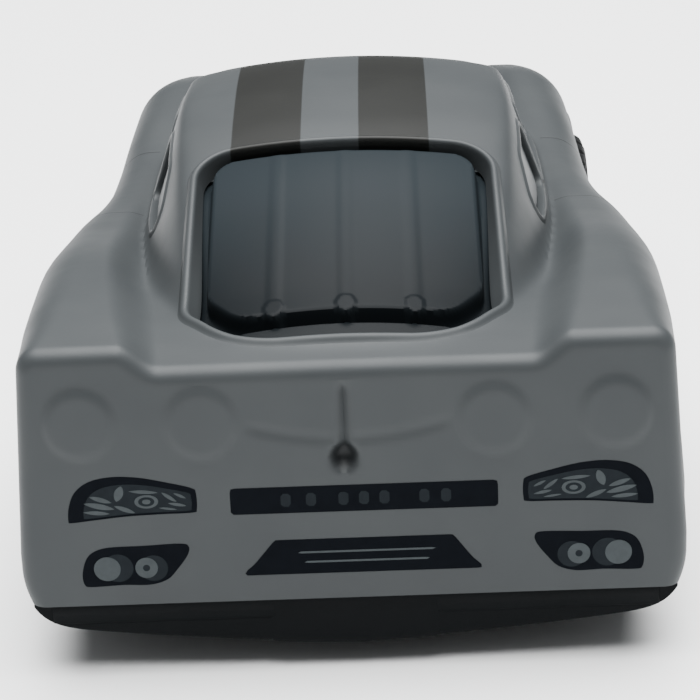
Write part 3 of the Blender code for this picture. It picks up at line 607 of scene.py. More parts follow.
# %% [markdown]
# ### Trimming the shell
#
# The cells over the windows and inside the wheel arches go, in the outer skin and in the inner one
# that gives the moulding its thickness.

# %% Build the shell's skins
WHEELS = {}
for place in ("rear_left", "rear_right", "front_left", "front_right"):
    low, high = node_box("tyre_" + place)
    WHEELS[place] = ((low + high) / 2, (high[2] - low[2]) / 2, (high[0] - low[0]) / 2)
TYRE_R = WHEELS["rear_left"][1]
ARCH_R = TYRE_R + 1.6
AXLE_STATIONS = {name: WHEELS[name + "_left"][0][1] - TAIL_Y for name in ("rear", "front")}


def outside_openings(x, y, z, margin):
    """Which points of a skin keep at least a margin from every window and arch."""
    keep = distance(x, y, REAR_WINDOW) > margin
    keep &= distance(x, y, WINDSCREEN) > margin
    cabin = (np.abs(x) < CABIN_BASE_X(y) + 1) & (z > DECK_TOP(y))
    for outline in (DOOR_WINDOW, QUARTER_WINDOW):
        keep &= ~(cabin & (np.abs(x) > 14.6) & (distance(y, z, outline) < margin))
    for station in AXLE_STATIONS.values():
        keep &= ~((np.abs(x) > 17) & (np.hypot(y - station, z - TYRE_R) < ARCH_R + margin))
    return keep


def cells(values):
    """The value at the middle of each cell of a grid: the mean of its corners."""
    return (values[:-1, :-1] + values[1:, :-1] + values[:-1, 1:] + values[1:, 1:]) / 4


def skin_patch(y, inset, foot_z, tail_edge, nose_edge, steps, margin, flip):
    """A trimmed skin of the shell, with its rings for the pieces that join it."""
    stations, x, z = hull(y, inset, foot_z, tail_edge, nose_edge, steps)
    y = np.broadcast_to(stations[:, None], x.shape)
    unleaned = x / (1 - LEAN * np.maximum(z - LEAN_START_Z, 0))
    keep = outside_openings(cells(unleaned), cells(y), cells(z), margin).ravel()
    return patch(to_car(x, y, z), keep=keep, flip=flip), (stations, x, z)


outer_y = np.concatenate((np.linspace(TAIL_EDGE_R, 8, 14), np.arange(8.6, 108.8, 0.6), [109.0]))
outer_steps = (SIDE_STEPS, ARC_STEPS, TOP_SHARES)
outer, rings = skin_patch(outer_y, 0, SKIRT_Z, TAIL_EDGE_R, NOSE_EDGE_R, outer_steps, 0.42, flip=True)
stations, ring_x, ring_z = rings

inner_y = np.linspace(3, 107.5, 90)
inner_steps = (16, 6, np.linspace(1, 0, 40))
inner, _ = skin_patch(inner_y, SHELL_WALL, SKIRT_Z + 0.4, 1.0, 2.0, inner_steps, 0.2, flip=False)

lip_patches = []
for foot in (0, -1):
    side = -1 if foot == 0 else 1
    columns = []
    for inward, up in ((0.0, 0.0), (0.12, -0.0), (SHELL_WALL, 0.0), (SHELL_WALL, 1.2)):
        columns.append(to_car(ring_x[:, foot] - side * inward, stations, ring_z[:, foot] + up))
    lip = np.array(columns)
    lip_y = cells(np.broadcast_to(stations, lip.shape[:2]))
    clear = [np.abs(lip_y - station) > ARCH_R - 0.3 for station in AXLE_STATIONS.values()]
    lip_patches.append(patch(lip, keep=(clear[0] & clear[1]).ravel(), flip=side > 0))

tail_grid = wall_between(ring_x[0], ring_z[0], SIDE_STEPS - 1)
tail_x, tail_z = tail_grid[..., 0], tail_grid[..., 1]
edge_fade = smooth_step((np.arange(tail_x.shape[0]) / 3))[:, None]
tail_wall = to_car(tail_x, stations[0] - tail_relief(tail_x, tail_z) * edge_fade, tail_z)
nose_grid = wall_between(ring_x[-1], ring_z[-1], SIDE_STEPS - 1)
nose_wall = to_car(nose_grid[..., 0], stations[-1], nose_grid[..., 1])
print("cells in the outer skin:", len(outer[1]), "and rows in the tail's wall:", tail_x.shape[0])

# %% [markdown]
# ### Rims
#
# A rounded ridge stands round the rear window. The other windows and the arches have a lower one. Each
# rim's profile starts on the skin, rises, and turns down through the wall's thickness.

# %% Rim profiles
REAR_RIDGE = smooth_profile(
    ((1.15, -0.1), (0.85, 0.08), (0.5, 0.34), (0.2, 0.36), (0.0, 0.12), (-0.02, -0.5), (-0.02, -1.7)), 4
)
WINDOW_RIDGE = smooth_profile(
    ((0.95, -0.1), (0.65, 0.06), (0.35, 0.17), (0.08, 0.08), (0.0, -0.3), (0.0, -1.6)), 4
)
ARCH_LIP = smooth_profile(
    ((1.25, -0.1), (0.95, 0.12), (0.5, 0.3), (0.1, 0.24), (0.0, -0.2), (0.0, -1.8)), 4
)


def arch_outline(station):
    """The arch in side view, from the skirt over the wheel and down to the skirt again."""
    low = math.asin((SKIRT_Z - TYRE_R) / ARCH_R)
    angle = np.linspace(math.pi - low, low, 90)
    return np.stack((station + ARCH_R * np.cos(angle), TYRE_R + ARCH_R * np.sin(angle)), -1)


shell_patches = [outer, patch(tail_wall, flip=True), patch(nose_wall)]
rim_patches = [inner, *lip_patches]
rim_patches.append(rim(REAR_WINDOW, REAR_RIDGE, on_top))
rim_patches.append(rim(WINDSCREEN, WINDOW_RIDGE, on_top))
for side in (-1, 1):
    for outline in (DOOR_WINDOW, QUARTER_WINDOW):
        rim_patches.append(rim(outline, WINDOW_RIDGE, lambda y, z: on_cabin_side(y, z, side), flip=side < 0))
    for station in AXLE_STATIONS.values():
        arch = arch_outline(station)[::-1]
        place = lambda y, z: on_body_side(y, z, side)
        rim_patches.append(rim(arch, ARCH_LIP, place, flip=side < 0, closed=False))

# %% [markdown]
# ### The shell's finish
#
# The shell is ABS with a silver pigment in it, moulded and not painted. Flakes of aluminium lie along
# the surface, so it is a soft grey with a broad sheen and a little sparkle, and the flow of the melt
# leaves slow streaks. The stripes are printed in an olive grey. The doors' shut lines are moulded
# grooves: a rounded rectangle in side view, drawn where the distance to its edge is small.

# %% Shell material


def between(tree, value, low, high):
    """1 where the value is below low, 0 above high, and smooth between."""
    return node(
        tree, "MapRange", {"interpolation_type": "SMOOTHSTEP"},
        Value=value, From_Min=low, From_Max=high, To_Min=1.0, To_Max=0.0,
    ).outputs[0]


def band(tree, value, middle, half_width, edge):
    """1 in a band about a middle value, with soft edges, in metres."""
    off = maths(tree, "ABSOLUTE", maths(tree, "SUBTRACT", value, middle * MM))
    return between(tree, off, (half_width - edge) * MM, (half_width + edge) * MM)


def rounded_box_edge(tree, a, b, middle, half, radius):
    """Distance from the edge of a rounded rectangle: the usual box formula, with no sign."""
    over = []
    for value, centre, reach in ((a, middle[0], half[0]), (b, middle[1], half[1])):
        off = maths(tree, "ABSOLUTE", maths(tree, "SUBTRACT", value, centre * MM))
        over.append(maths(tree, "SUBTRACT", off, (reach - radius) * MM))
    over_a, over_b = over
    squares = []
    for value in over:
        out = maths(tree, "MAXIMUM", value, 0.0)
        squares.append(maths(tree, "MULTIPLY", out, out))
    corner = maths(tree, "SQRT", maths(tree, "ADD", *squares))
    within = maths(tree, "MINIMUM", maths(tree, "MAXIMUM", over_a, over_b), 0.0)
    return maths(tree, "ABSOLUTE", maths(tree, "SUBTRACT", maths(tree, "ADD", corner, within), radius * MM))


shell_plastic, tree, shader = material(
    "silver_pigmented_abs_moulded", "#33383b", 0.48, 0.12, Specular_IOR_Level=0.2
)
_, xyz = object_place(tree)
base = mottle(tree, shader, "#2d3032", "#353839", 9.0)
flakes = noise(tree, 0.22, 1.0)
streaks = noise(tree, 3.5, 4.0)

stripes = maths(tree, "MAXIMUM", band(tree, xyz["X"], -7.1, 3.2, 0.06), band(tree, xyz["X"], 4.6, 3.2, 0.06))
roof_part = band(tree, xyz["Y"], 47.0 + TAIL_Y, 14.9, 0.06)
bonnet_part = between(tree, maths(tree, "SUBTRACT", (77.6 + TAIL_Y) * MM, xyz["Y"]), 0.0, 0.0001)
on_upper_side = between(tree, maths(tree, "SUBTRACT", 13.5 * MM, xyz["Z"]), 0.0, 0.0001)
places = maths(tree, "MULTIPLY", maths(tree, "MAXIMUM", roof_part, bonnet_part), on_upper_side)
stripes = maths(tree, "MULTIPLY", stripes, places)

door = rounded_box_edge(tree, xyz["Y"], xyz["Z"], (54.6 + TAIL_Y, 20.4), (10.9, 11.0), 3.0)
door_line = between(tree, door, 0.08 * MM, 0.2 * MM)
on_side = between(tree, maths(tree, "SUBTRACT", 19.9 * MM, maths(tree, "ABSOLUTE", xyz["X"])), 0.0, 0.0002)
door_line = maths(tree, "MULTIPLY", door_line, on_side)

ink_and_painted_shade = blend(tree, stripes, base, "#10110f")
# Painted shade: the round dimple at the foot of the tail's groove is darkened in the colour, on the tail
# only, for the shade that falls in that recess.
off_dimple = maths(
    tree, "SQRT", maths(
        tree, "ADD", maths(tree, "POWER", maths(tree, "ADD", xyz["X"], 0.4 * MM), 2.0),
        maths(tree, "POWER", maths(tree, "SUBTRACT", xyz["Z"], 19.9 * MM), 2.0),
    )
)
shadow = between(tree, off_dimple, 0.5 * MM, 1.5 * MM)
shadow = maths(tree, "MULTIPLY", shadow, between(tree, xyz["Y"], (TAIL_Y + 2) * MM, (TAIL_Y + 3) * MM))
ink_and_painted_shade = blend(tree, maths(tree, "MULTIPLY", shadow, 0.85), ink_and_painted_shade, "#0c0e10")
lined_and_shaded = blend(tree, maths(tree, "MULTIPLY", door_line, 0.75), ink_and_painted_shade, "#141618")
tree.links.new(lined_and_shaded, shader.inputs["Base Color"])

rough = node(tree, "MapRange", Value=streaks, To_Min=0.44, To_Max=0.56).outputs[0]
tree.links.new(rough, shader.inputs["Roughness"])
height = maths(tree, "SUBTRACT", maths(tree, "MULTIPLY", flakes, 0.05), door_line)
bump = node(tree, "Bump", Strength=0.6, Distance=0.12 * MM, Height=height)
tree.links.new(bump.outputs["Normal"], shader.inputs["Normal"])

piece("shell_moulding", shell_patches, "car", shell_plastic, ["body_shell"])
piece("shell_rims_and_lining", rim_patches, "car", shell_plastic)

# %% [markdown]
# ## The windows
#
# The windows are one moulding of smoked polystyrene under the shell. It stands up in each opening, with
# a black gap round it where it falls back under the rim. Each panel is a grid that follows the skin at a
# depth: shallow inside its own outline and deep outside it. Three faint ribs run up the rear window and
# end in round bosses, and a small ledge below them holds it in the mould.

# %% Smoked moulding
PANEL_DEPTH, GAP_DEPTH = 0.45, 2.1
# Polystyrene from a polished mould is smooth and glassy. It is kept duller here than the real one.
smoked, tree, shader = material("smoked_polystyrene_polished", "#0c0e10", 0.34, 0.0, Specular_IOR_Level=0.03)
_, xyz = object_place(tree)
tint_and_reflection = mottle(tree, shader, "#0b0e10", "#111416", 14.0)
# Painted reflection: the smoked colour is painted lighter from the lower rear window upwards and forwards,
# for the bright studio reflected in the glass.
painted_reflection_fade = between(tree, xyz["Y"], (TAIL_Y + 8) * MM, (TAIL_Y + 30) * MM)
tint_and_reflection = blend(tree, painted_reflection_fade, "#1c2124", tint_and_reflection)
tree.links.new(tint_and_reflection, shader.inputs["Base Color"])
grain(tree, shader, 1.8, 0.02, 0.25)


def inset_outline(outline, amount):
    """An outline drawn in by an amount along its own normals."""
    return outline - amount * outward(outline)


def rear_depth(x, y):
    """Depth of the rear moulding under the skin: panel, gap, ledge, ribs and bosses."""
    panel = rounded(
        ((-9.6, 8.2), (9.6, 8.2), (12.8, 12.0), (12.8, 31.9), (-12.8, 31.9), (-12.8, 12.0)),
        (4, 4, 3, 2.6, 2.6, 3),
    )
    inside = smooth_step(0.5 - distance(x, y, panel) / 0.9)
    depth = GAP_DEPTH - (GAP_DEPTH - PANEL_DEPTH) * inside
    for rib_x in (-6.3, 0.1, 6.2):
        across = smooth_step((0.95 - np.abs(x - rib_x)) / 0.8)
        depth -= 0.05 * across * inside * smooth_step((y - 9.5) / 1.0)
        boss = smooth_step((1.5 - np.hypot(x - rib_x, (y - 9.2) * 0.8)) / 0.7)
        depth = np.minimum(depth, GAP_DEPTH - (GAP_DEPTH - 0.35) * boss)
    ledge = rounded(((-9.9, 5.9), (9.9, 5.9), (9.9, 7.7), (-9.9, 7.7)), 0.6)
    on_ledge = smooth_step(0.5 - distance(x, y, ledge) / 0.4)
    return np.minimum(depth, GAP_DEPTH - 0.8 * on_ledge)


def sunk(place, a, b, depth, flip=False):
    """Points of a surface moved down its normals by a depth, and again by the moulding's thickness."""
    normal = normals_at(place, a, b) * (-1 if flip else 1)
    top = place(a, b) - depth[..., None] * normal
    return top, top - 0.9 * normal


def moulded_sheet(place, a, b, depth, flip=False):
    """A closed sheet: a face, a back and the edge that joins them."""
    top, under = sunk(place, a, b, depth, flip)
    def around(grid):
        return np.concatenate((grid[0], grid[1:, -1], grid[-1, -2::-1], grid[-2:0:-1, 0]))
    edge = np.stack((around(top), around(under)))
    return [patch(top, flip=not flip), patch(under, flip=flip), patch(edge, wrap_columns=True, flip=flip)]


def plan_grid(x_low, x_high, y_low, y_high, spacing):
    """Two matching grids of x and y."""
    x = np.linspace(x_low, x_high, int((x_high - x_low) / spacing) + 1)
    y = np.linspace(y_low, y_high, int((y_high - y_low) / spacing) + 1)
    return np.meshgrid(x, y)


x, y = plan_grid(-14.9, 14.9, 3.5, 33.6, 0.2)
panels = moulded_sheet(on_top, x, y, rear_depth(x, y))
x, y = plan_grid(-15.0, 15.0, 58.5, 76.8, 0.3)
screen = smooth_step(0.5 - distance(x, y, inset_outline(WINDSCREEN, 0.35)) / 0.4)
panels += moulded_sheet(on_top, x, y, GAP_DEPTH - (GAP_DEPTH - PANEL_DEPTH) * screen)
for side in (-1, 1):
    for outline in (DOOR_WINDOW, QUARTER_WINDOW):
        low, high = outline.min(0) - 0.5, outline.max(0) + 0.5
        y, z = plan_grid(low[0], high[0], low[1], high[1], 0.22)
        z = np.minimum(z, ROOF_TOP(y) - 2.2)
        raised = smooth_step(0.5 - distance(y, z, inset_outline(outline, 0.3)) / 0.4)
        depth = 1.5 - 1.1 * raised
        panels += moulded_sheet(lambda a, b: on_cabin_side(a, b, side), y, z, depth, flip=side < 0)
piece("smoked_windows", panels, "car", smoked, ["window_insert"])

# %% [markdown]
# ## Printed details
#
# The tail's lamps, its plate and its grille are pad printed: thin films of ink laid one on another. Each
# film is a fan from its own middle to a smooth outline, a few hundredths of a millimetre proud.

# %% Printing helpers
# Pad printing lays a thin matt film. The silver one has a little metal in it.
ink_dark, tree, shader = material("pad_print_ink_black", "#090b0f", 0.8, Specular_IOR_Level=0.03)
mottle(tree, shader, "#07090d", "#0c0f13", 1.2)
ink_mid, tree, shader = material("pad_print_ink_grey", "#181c1f", 0.8, Specular_IOR_Level=0.05)
mottle(tree, shader, "#14181b", "#1d2124", 0.8)
ink_light, tree, shader = material("pad_print_ink_silver", "#33383a", 0.5, 0.1, Specular_IOR_Level=0.1)
mottle(tree, shader, "#2d3234", "#3a3f41", 0.6)
PRINTS = {"dark": (ink_dark, []), "mid": (ink_mid, []), "light": (ink_light, [])}


def closed_curve(points, steps=6):
    """A smooth closed curve through points."""
    points = np.asarray(points, float)
    curve = smooth_profile(np.vstack((points[-2:], points, points[:2])), steps)
    return curve[2 * steps : -2 * steps - 1 + steps]


def film(outline, proud, tone, place):
    """A thin film of ink inside an outline; place puts (a, b, height) on the body."""
    outline = np.asarray(outline, float)
    middle = outline.mean(0)
    rows = [middle + (outline - middle) * share for share in (0.0, 0.5, 1.0)]
    grid = [place(row[:, 0], row[:, 1], proud) for row in rows]
    grid.append(place(outline[:, 0], outline[:, 1], -0.05))
    PRINTS[tone][1].append(patch(np.array(grid), wrap_columns=True))


def disc(middle, radius, proud, tone, place, stretch=1.0):
    """A round or oval film."""
    angle = np.linspace(0, 2 * math.pi, 40, endpoint=False)
    ring = np.stack((middle[0] + radius * stretch * np.cos(angle), middle[1] + radius * np.sin(angle)), -1)
    film(ring, proud, tone, place)


def leaf(start, end, width, proud, tone, place):
    """A thin film shaped like a willow leaf between two points."""
    start, end = np.asarray(start, float), np.asarray(end, float)
    along = end - start
    normal = np.array((-along[1], along[0])) / np.linalg.norm(along)
    u = np.linspace(0, 1, 12)[:, None]
    swell = width / 2 * np.sin(math.pi * u) ** 0.7
    upper, lower = start + along * u + normal * swell, start + along * u - normal * swell
    outline = np.concatenate((upper, lower[-2:0:-1]))
    film(outline, proud, tone, place)


def oblong(left, right, low, high, radius):
    """A rectangle with rounded corners."""
    return rounded(((left, low), (right, low), (right, high), (left, high)), radius)


def on_tail(side, middle=0.0):
    """Where a film's point lies on the flat of the tail, mirrored for one side."""
    return lambda a, b, up: to_car(middle + side * a, -up * np.ones(np.shape(a)), b)


# %% Print the tail
TAIL_MIDDLE = 0.75
UPPER_LAMP = closed_curve(
    ((23.5, 14.95), (23.35, 16.3), (22.75, 17.6), (21.5, 18.5), (19.6, 18.85), (17.4, 18.7), (15.2, 18.2),
     (13.1, 17.6), (12.75, 17.1), (12.75, 15.7), (13.1, 15.35), (15.5, 15.3), (18.5, 15.2), (21.2, 14.95),
     (23.2, 14.75))
)
LOWER_LAMP = closed_curve(
    ((21.9, 8.95), (22.0, 10.0), (21.6, 11.3), (20.9, 12.0), (19.6, 12.35), (16.9, 12.4), (13.7, 12.5),
     (12.95, 12.2), (13.1, 11.4), (13.95, 10.2), (14.9, 9.2), (16.4, 8.75), (18.6, 8.8), (21.3, 8.7))
)
for side in (-1, 1):
    place = on_tail(side, TAIL_MIDDLE + 0.8 * side)
    film(UPPER_LAMP, 0.02, "dark", place)
    inner_lamp = (UPPER_LAMP - (17.9, 16.3)) * (0.84, 0.74) + (17.5, 16.25)
    film(inner_lamp, 0.035, "mid", place)
    strokes = (
        ((21.6, 17.1), (19.8, 16.5), 0.42), ((22.1, 16.5), (19.6, 15.9), 0.5),
        ((22.2, 15.7), (20.0, 15.5), 0.36), ((18.9, 18.0), (19.4, 16.6), 0.75),
        ((19.6, 16.2), (17.9, 15.5), 0.4), ((18.3, 17.5), (15.9, 17.3), 0.32),
        ((15.6, 17.3), (14.4, 16.4), 0.32), ((15.1, 16.3), (13.6, 16.0), 0.28),
        ((14.6, 17.2), (13.6, 16.7), 0.24), ((15.9, 15.9), (14.4, 15.7), 0.2),
    )
    for start, end, width in strokes:
        leaf(start, end, width, 0.05, "light", place)
    disc((16.9, 16.5), 0.62, 0.05, "light", place, stretch=1.6)
    disc((16.9, 16.5), 0.42, 0.06, "mid", place, stretch=1.6)
    disc((16.9, 16.5), 0.22, 0.07, "light", place, stretch=1.6)
    place = on_tail(side, TAIL_MIDDLE + 1.5 * side)
    film(LOWER_LAMP, 0.02, "dark", place)
    disc((19.0, 10.4), 1.3, 0.035, "mid", place)
    disc((16.0, 10.3), 1.2, 0.035, "mid", place)
    disc((19.9, 10.35), 1.12, 0.05, "light", place)
    disc((16.6, 10.35), 0.95, 0.05, "light", place)
    disc((16.6, 10.35), 0.3, 0.06, "mid", place)

place = on_tail(1, 0.0)
film(oblong(-10.0, 12.2, 15.0, 17.4, 0.25), 0.03, "dark", place)
for dash_x in (-5.4, -3.3, -0.6, 1.1, 2.8, 6.1, 7.9):
    film(oblong(dash_x - 0.42, dash_x + 0.42, 15.6, 16.8, 0.2), 0.045, "mid", place)
grille = rounded(((-9.1, 9.3), (10.7, 9.3), (8.4, 12.5), (-6.5, 12.5)), 0.3)
grille[:, 0] += 0.5 * np.sign(grille[:, 0] - TAIL_MIDDLE) * np.clip((10.6 - grille[:, 1]) / 1.3, 0, 1) ** 2
film(grille, 0.03, "dark", place)
for bar_z, left, right in ((11.3, -4.6, 6.9), (10.4, -4.1, 6.4)):
    film(oblong(left, right, bar_z - 0.09, bar_z + 0.09, 0.05), 0.045, "light", place)

# %% [markdown]
# The nose carries prints of the same kind: a pair of headlamps and a lower intake.

# %% Print the nose
NOSE_FLAT = stations[-1] + 0.05


def on_nose(side):
    """Where a film's point lies on the flat of the nose, mirrored for one side."""
    return lambda a, b, up: to_car(-side * a, NOSE_FLAT + up * np.ones(np.shape(a)), b)


HEADLAMP = closed_curve(
    ((9.9, 11.0), (9.7, 12.4), (8.2, 13.0), (6.2, 12.7), (4.9, 12.0), (5.2, 11.1), (7.5, 10.7))
)
for side in (-1, 1):
    place = on_nose(side)
    film(HEADLAMP, 0.02, "dark", place)
    disc((8.3, 11.85), 0.75, 0.035, "light", place)
    disc((6.4, 11.75), 0.55, 0.035, "mid", place)
film(rounded(((-7.6, 8.2), (7.6, 8.2), (6.4, 9.8), (-6.4, 9.8)), 0.4), 0.02, "dark", on_nose(1))
for bar_z in (8.7, 9.3):
    film(oblong(-5.6, 5.6, bar_z - 0.08, bar_z + 0.08, 0.04), 0.035, "light", on_nose(1))
for tone, (finish, films) in PRINTS.items():
    piece(f"print_{tone}", films, "car", finish)

# %% [markdown]
# ## The chassis
#
# The floor plate is the imported model's own shape, with its facets merged and its edges rounded. The
# valance under the tail is a new loft: its lower edge is a curve that is low in the middle and rises
# steeply at its ends. That curve follows the shadow under the tail: the upper part of the panel is the
# real valance, and its lower part is a black sheet that stands in for the shade below it.

# %% Soften a CAD piece


def softened(name, made_name, body, finish, width=0.2, angle=38, segments=2):
    """A copy of a CAD node with its flat facets merged and its sharp edges rounded by a small bevel."""
    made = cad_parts[name].copy()
    made.data = made.data.copy()
    made.name = made_name
    bpy.context.scene.collection.objects.link(made)
    made.matrix_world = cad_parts[name].matrix_world
    mesh = made.data
    mesh.transform(made.matrix_world)
    made.parent = None
    made.matrix_world = Matrix()
    shape = bmesh.new()
    shape.from_mesh(mesh)
    bmesh.ops.remove_doubles(shape, verts=shape.verts, dist=0.002 * MM)
    bmesh.ops.dissolve_limit(shape, angle_limit=math.radians(1), verts=shape.verts, edges=shape.edges)
    sharp = [e for e in shape.edges if len(e.link_faces) == 2 and e.calc_face_angle() > math.radians(angle)]
    bmesh.ops.bevel(
        shape, geom=sharp, offset=width * MM, offset_type="OFFSET", segments=segments, profile=0.5,
        affect="EDGES", clamp_overlap=True,
    )
    bmesh.ops.triangulate(shape, faces=shape.faces)
    shape.to_mesh(mesh)
    shape.free()
    mesh.shade_smooth()
    mesh.set_sharp_from_angle(angle=math.radians(30))
    mesh.materials.clear()
    mesh.materials.append(finish)
    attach(made, body)
    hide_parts(name)
    print(f"{made_name}: {len(mesh.polygons)} faces")
    return made


# ABS from a spark-eroded mould has a fine even grain, which takes the shine off the black.
chassis_finish, tree, shader = material("black_abs_textured_mould", "#07090a", 0.6, Specular_IOR_Level=0.06)
mottle(tree, shader, "#050708", "#0a0c0e", 6.0)
grain(tree, shader, 0.35, 0.05, 0.5)
# Plain moulded polystyrene is a little rougher to the eye, with slow drifts of tone.
tub_finish, tree, shader = material("black_polystyrene_moulded", "#131416", 0.55)
mottle(tree, shader, "#101113", "#1a1b1e", 5.0)
grain(tree, shader, 0.5, 0.05, 0.4)
chassis = softened("chassis", "chassis_moulding", "car", chassis_finish)
softened("interior_tub", "interior_moulding", "car", tub_finish, 0.3)

# %% The valance
# Shadow made solid: the panel's low middle is a black sheet that reaches down to where the shadow under the
# tail ends.
VALANCE_HALF, SHADOW_EDGE_LOW = 27.2, 2.2


def valance_and_shadow_edge(u):
    """Height of the lower edge at a share of the half width: a shallow bow with rounded ends, drawn down to
    the edge of the shadow under the tail.
    """
    return SHADOW_EDGE_LOW + 2.45 * np.abs(u) ** 1.45 + 1.9 * np.abs(u) ** 24


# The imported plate's own valance is lifted to stay inside the new one.
for vertex in chassis.data.vertices:
    share = min(abs(vertex.co.x / MM / VALANCE_HALF), 1.0)
    if vertex.co.y / MM - TAIL_Y < 9.2:
        vertex.co.z = max(vertex.co.z, (float(valance_and_shadow_edge(share)) + 0.15) * MM)

u = np.sin(np.linspace(-math.pi / 2, math.pi / 2, 141))[:, None]
low_z = valance_and_shadow_edge(u)
edge = rounded(((0.72, 0.0), (8.88, 0.0), (8.88, 6.0), (0.72, 6.0)), 0.35, 0.3)
edge_y, edge_share = edge[:, 0][None], edge[:, 1][None]
top_z = SKIRT_Z - 0.05
height = low_z + edge_share / 6 * (top_z - low_z)
block = smooth_step((7.2 - np.abs(u * VALANCE_HALF)) / 0.5)
front = smooth_step((2.0 - edge_y) / 0.6)
valance = to_car(u * VALANCE_HALF, edge_y - 0.22 * block * front, height)
ends = [np.stack((valance[k].mean(0)[None].repeat(len(valance[k]), 0), valance[k])) for k in (0, -1)]
patches = [patch(valance, wrap_columns=True), patch(ends[0], wrap_columns=True)]
patches.append(patch(ends[1], wrap_columns=True, flip=True))
piece("rear_valance_and_shadow_panel", patches, "car", chassis_finish)

# %% [markdown]
# Thin black wells close the arches off from the inside of the car: a part of a barrel over each wheel,
# and a wall behind it that the axle passes through.

# %% Wheel wells
WELL_WALL_X, WELL_WALL = 15.9, 0.7


def wheel_well(station, side):
    """A barrel over the wheel and a wall behind it, as one thin closed sheet down to the floor plate."""
    reach = float(HALF_WIDTH(station)) - 2.6
    path = [(reach, ARCH_R - 0.15), (WELL_WALL_X + 1, ARCH_R - 0.15), (WELL_WALL_X + 0.3, ARCH_R - 0.45)]
    path += [(WELL_WALL_X, ARCH_R - 1.2), (WELL_WALL_X, 6.0), (WELL_WALL_X, 1.8)]
    path = np.array(path)
    back = path + ((0, WELL_WALL), (0, WELL_WALL), (-0.4, 0.5), *[(-WELL_WALL, 0)] * 3)
    low = math.asin((SKIRT_Z + 0.3 - TYRE_R) / ARCH_R)
    angle = np.linspace(low, math.pi - low, 80)[None]
    loop = np.vstack((path, back[::-1]))
    y = station + TAIL_Y + loop[:, 1:] * np.cos(angle)
    z = TYRE_R + np.maximum(loop[:, 1:] * np.sin(angle), SKIRT_Z + 0.3 - TYRE_R)
    grid = np.stack((side * loop[:, :1] + 0 * angle, y, z), -1)
    count = len(path)
    caps = [patch(np.stack((grid[:count, k], grid[:count - 1 - len(loop) : -1, k]))) for k in (0, -1)]
    return [patch(grid, wrap_rows=True, flip=side > 0), *caps]


wells = [well for station in AXLE_STATIONS.values() for side in (-1, 1) for well in wheel_well(station, side)]
piece("wheel_wells", wells, "car", chassis_finish)

# %% [markdown]
# ## Wheels and axles
#
# A tyre is a profile carried round the axle, with its radius cut down in the tread's grooves. A rim is a
# field of depths over its face: a hub cap, five spokes that taper outwards, and pockets between them.

# %% Tyres and rims
# Moulded synthetic rubber is matt, with a bloom that lightens it in patches.
rubber, tree, shader = material("black_synthetic_rubber", "#0b0c0d", 0.75, Specular_IOR_Level=0.15)
mottle(tree, shader, "#090a0b", "#101112", 3.0)
grain(tree, shader, 0.25, 0.04, 0.5)
# Plating in a vacuum leaves a thin bright skin that shows every wave in the plastic under it.
silvered, tree, shader = material("silvered_abs_vacuum_plated", "#6d7275", 0.34, 0.85)
mottle(tree, shader, "#64696c", "#777c7f", 2.5)
grain(tree, shader, 0.3, 0.01, 0.3)
# Rolled steel is bright, with fine marks that blur what it reflects.
steel, tree, shader = material("bright_steel_rolled", "#a3a6a8", 0.3, 1.0)
mottle(tree, shader, "#989b9d", "#adb0b2", 1.5)
grain(tree, shader, 0.12, 0.01, 0.4)
RIM_R = 6.3
SPOKES = 5


def make_tyre(name, centre, radius, half, side, body, stands_for):
    """A tyre with two grooves round it, slots across its shoulders and a ring on its sidewall."""
    seat = RIM_R + 0.02
    outline = smooth_profile(
        ((half - 0.75, seat), (half - 0.35, seat + 0.35), (half - 0.05, seat + 1.15),
         (half - 0.02, radius - 1.3),
         (half - 0.35, radius - 0.5), (half - 1.1, radius - 0.06), (half - 2.2, radius)), 7
    )
    tread = np.stack((np.linspace(half - 2.2, -half + 2.2, 42)[1:-1], np.full(40, radius)), -1)
    profile = np.vstack((outline, tread, outline[::-1] * (-1, 1)))
    angle = np.linspace(0, 2 * math.pi, 240, endpoint=False)[None]
    across, level = profile[:, :1], profile[:, 1:]
    groove = smooth_step((0.26 - np.abs(np.abs(across) - 0.75)) / 0.14)
    wave = np.abs(((angle * 30 / (2 * math.pi) + np.sign(across) * 0.25 + across * 0.12) % 1) - 0.5)
    slots = smooth_step((0.13 - wave) / 0.07) * smooth_step((np.abs(across) - 1.45) / 0.15)
    slots = slots * smooth_step((level - radius + 0.9) / 0.4)
    ring = 0.12 * np.exp(-(((level - seat - 1.4) / 0.16) ** 2)) * (np.abs(across) > half - 0.4)
    across = across + np.sign(across) * ring
    level = level - 0.34 * np.maximum(groove, slots)
    x = centre[0] + side * across + 0 * angle
    grid = np.stack((x, centre[1] + level * np.cos(angle), centre[2] + level * np.sin(angle)), -1)
    bore = np.stack((grid[-1], grid[0]))
    patches = [patch(grid, wrap_columns=True, flip=side < 0), patch(bore, wrap_columns=True, flip=side < 0)]
    return piece(name, patches, body, rubber, stands_for)


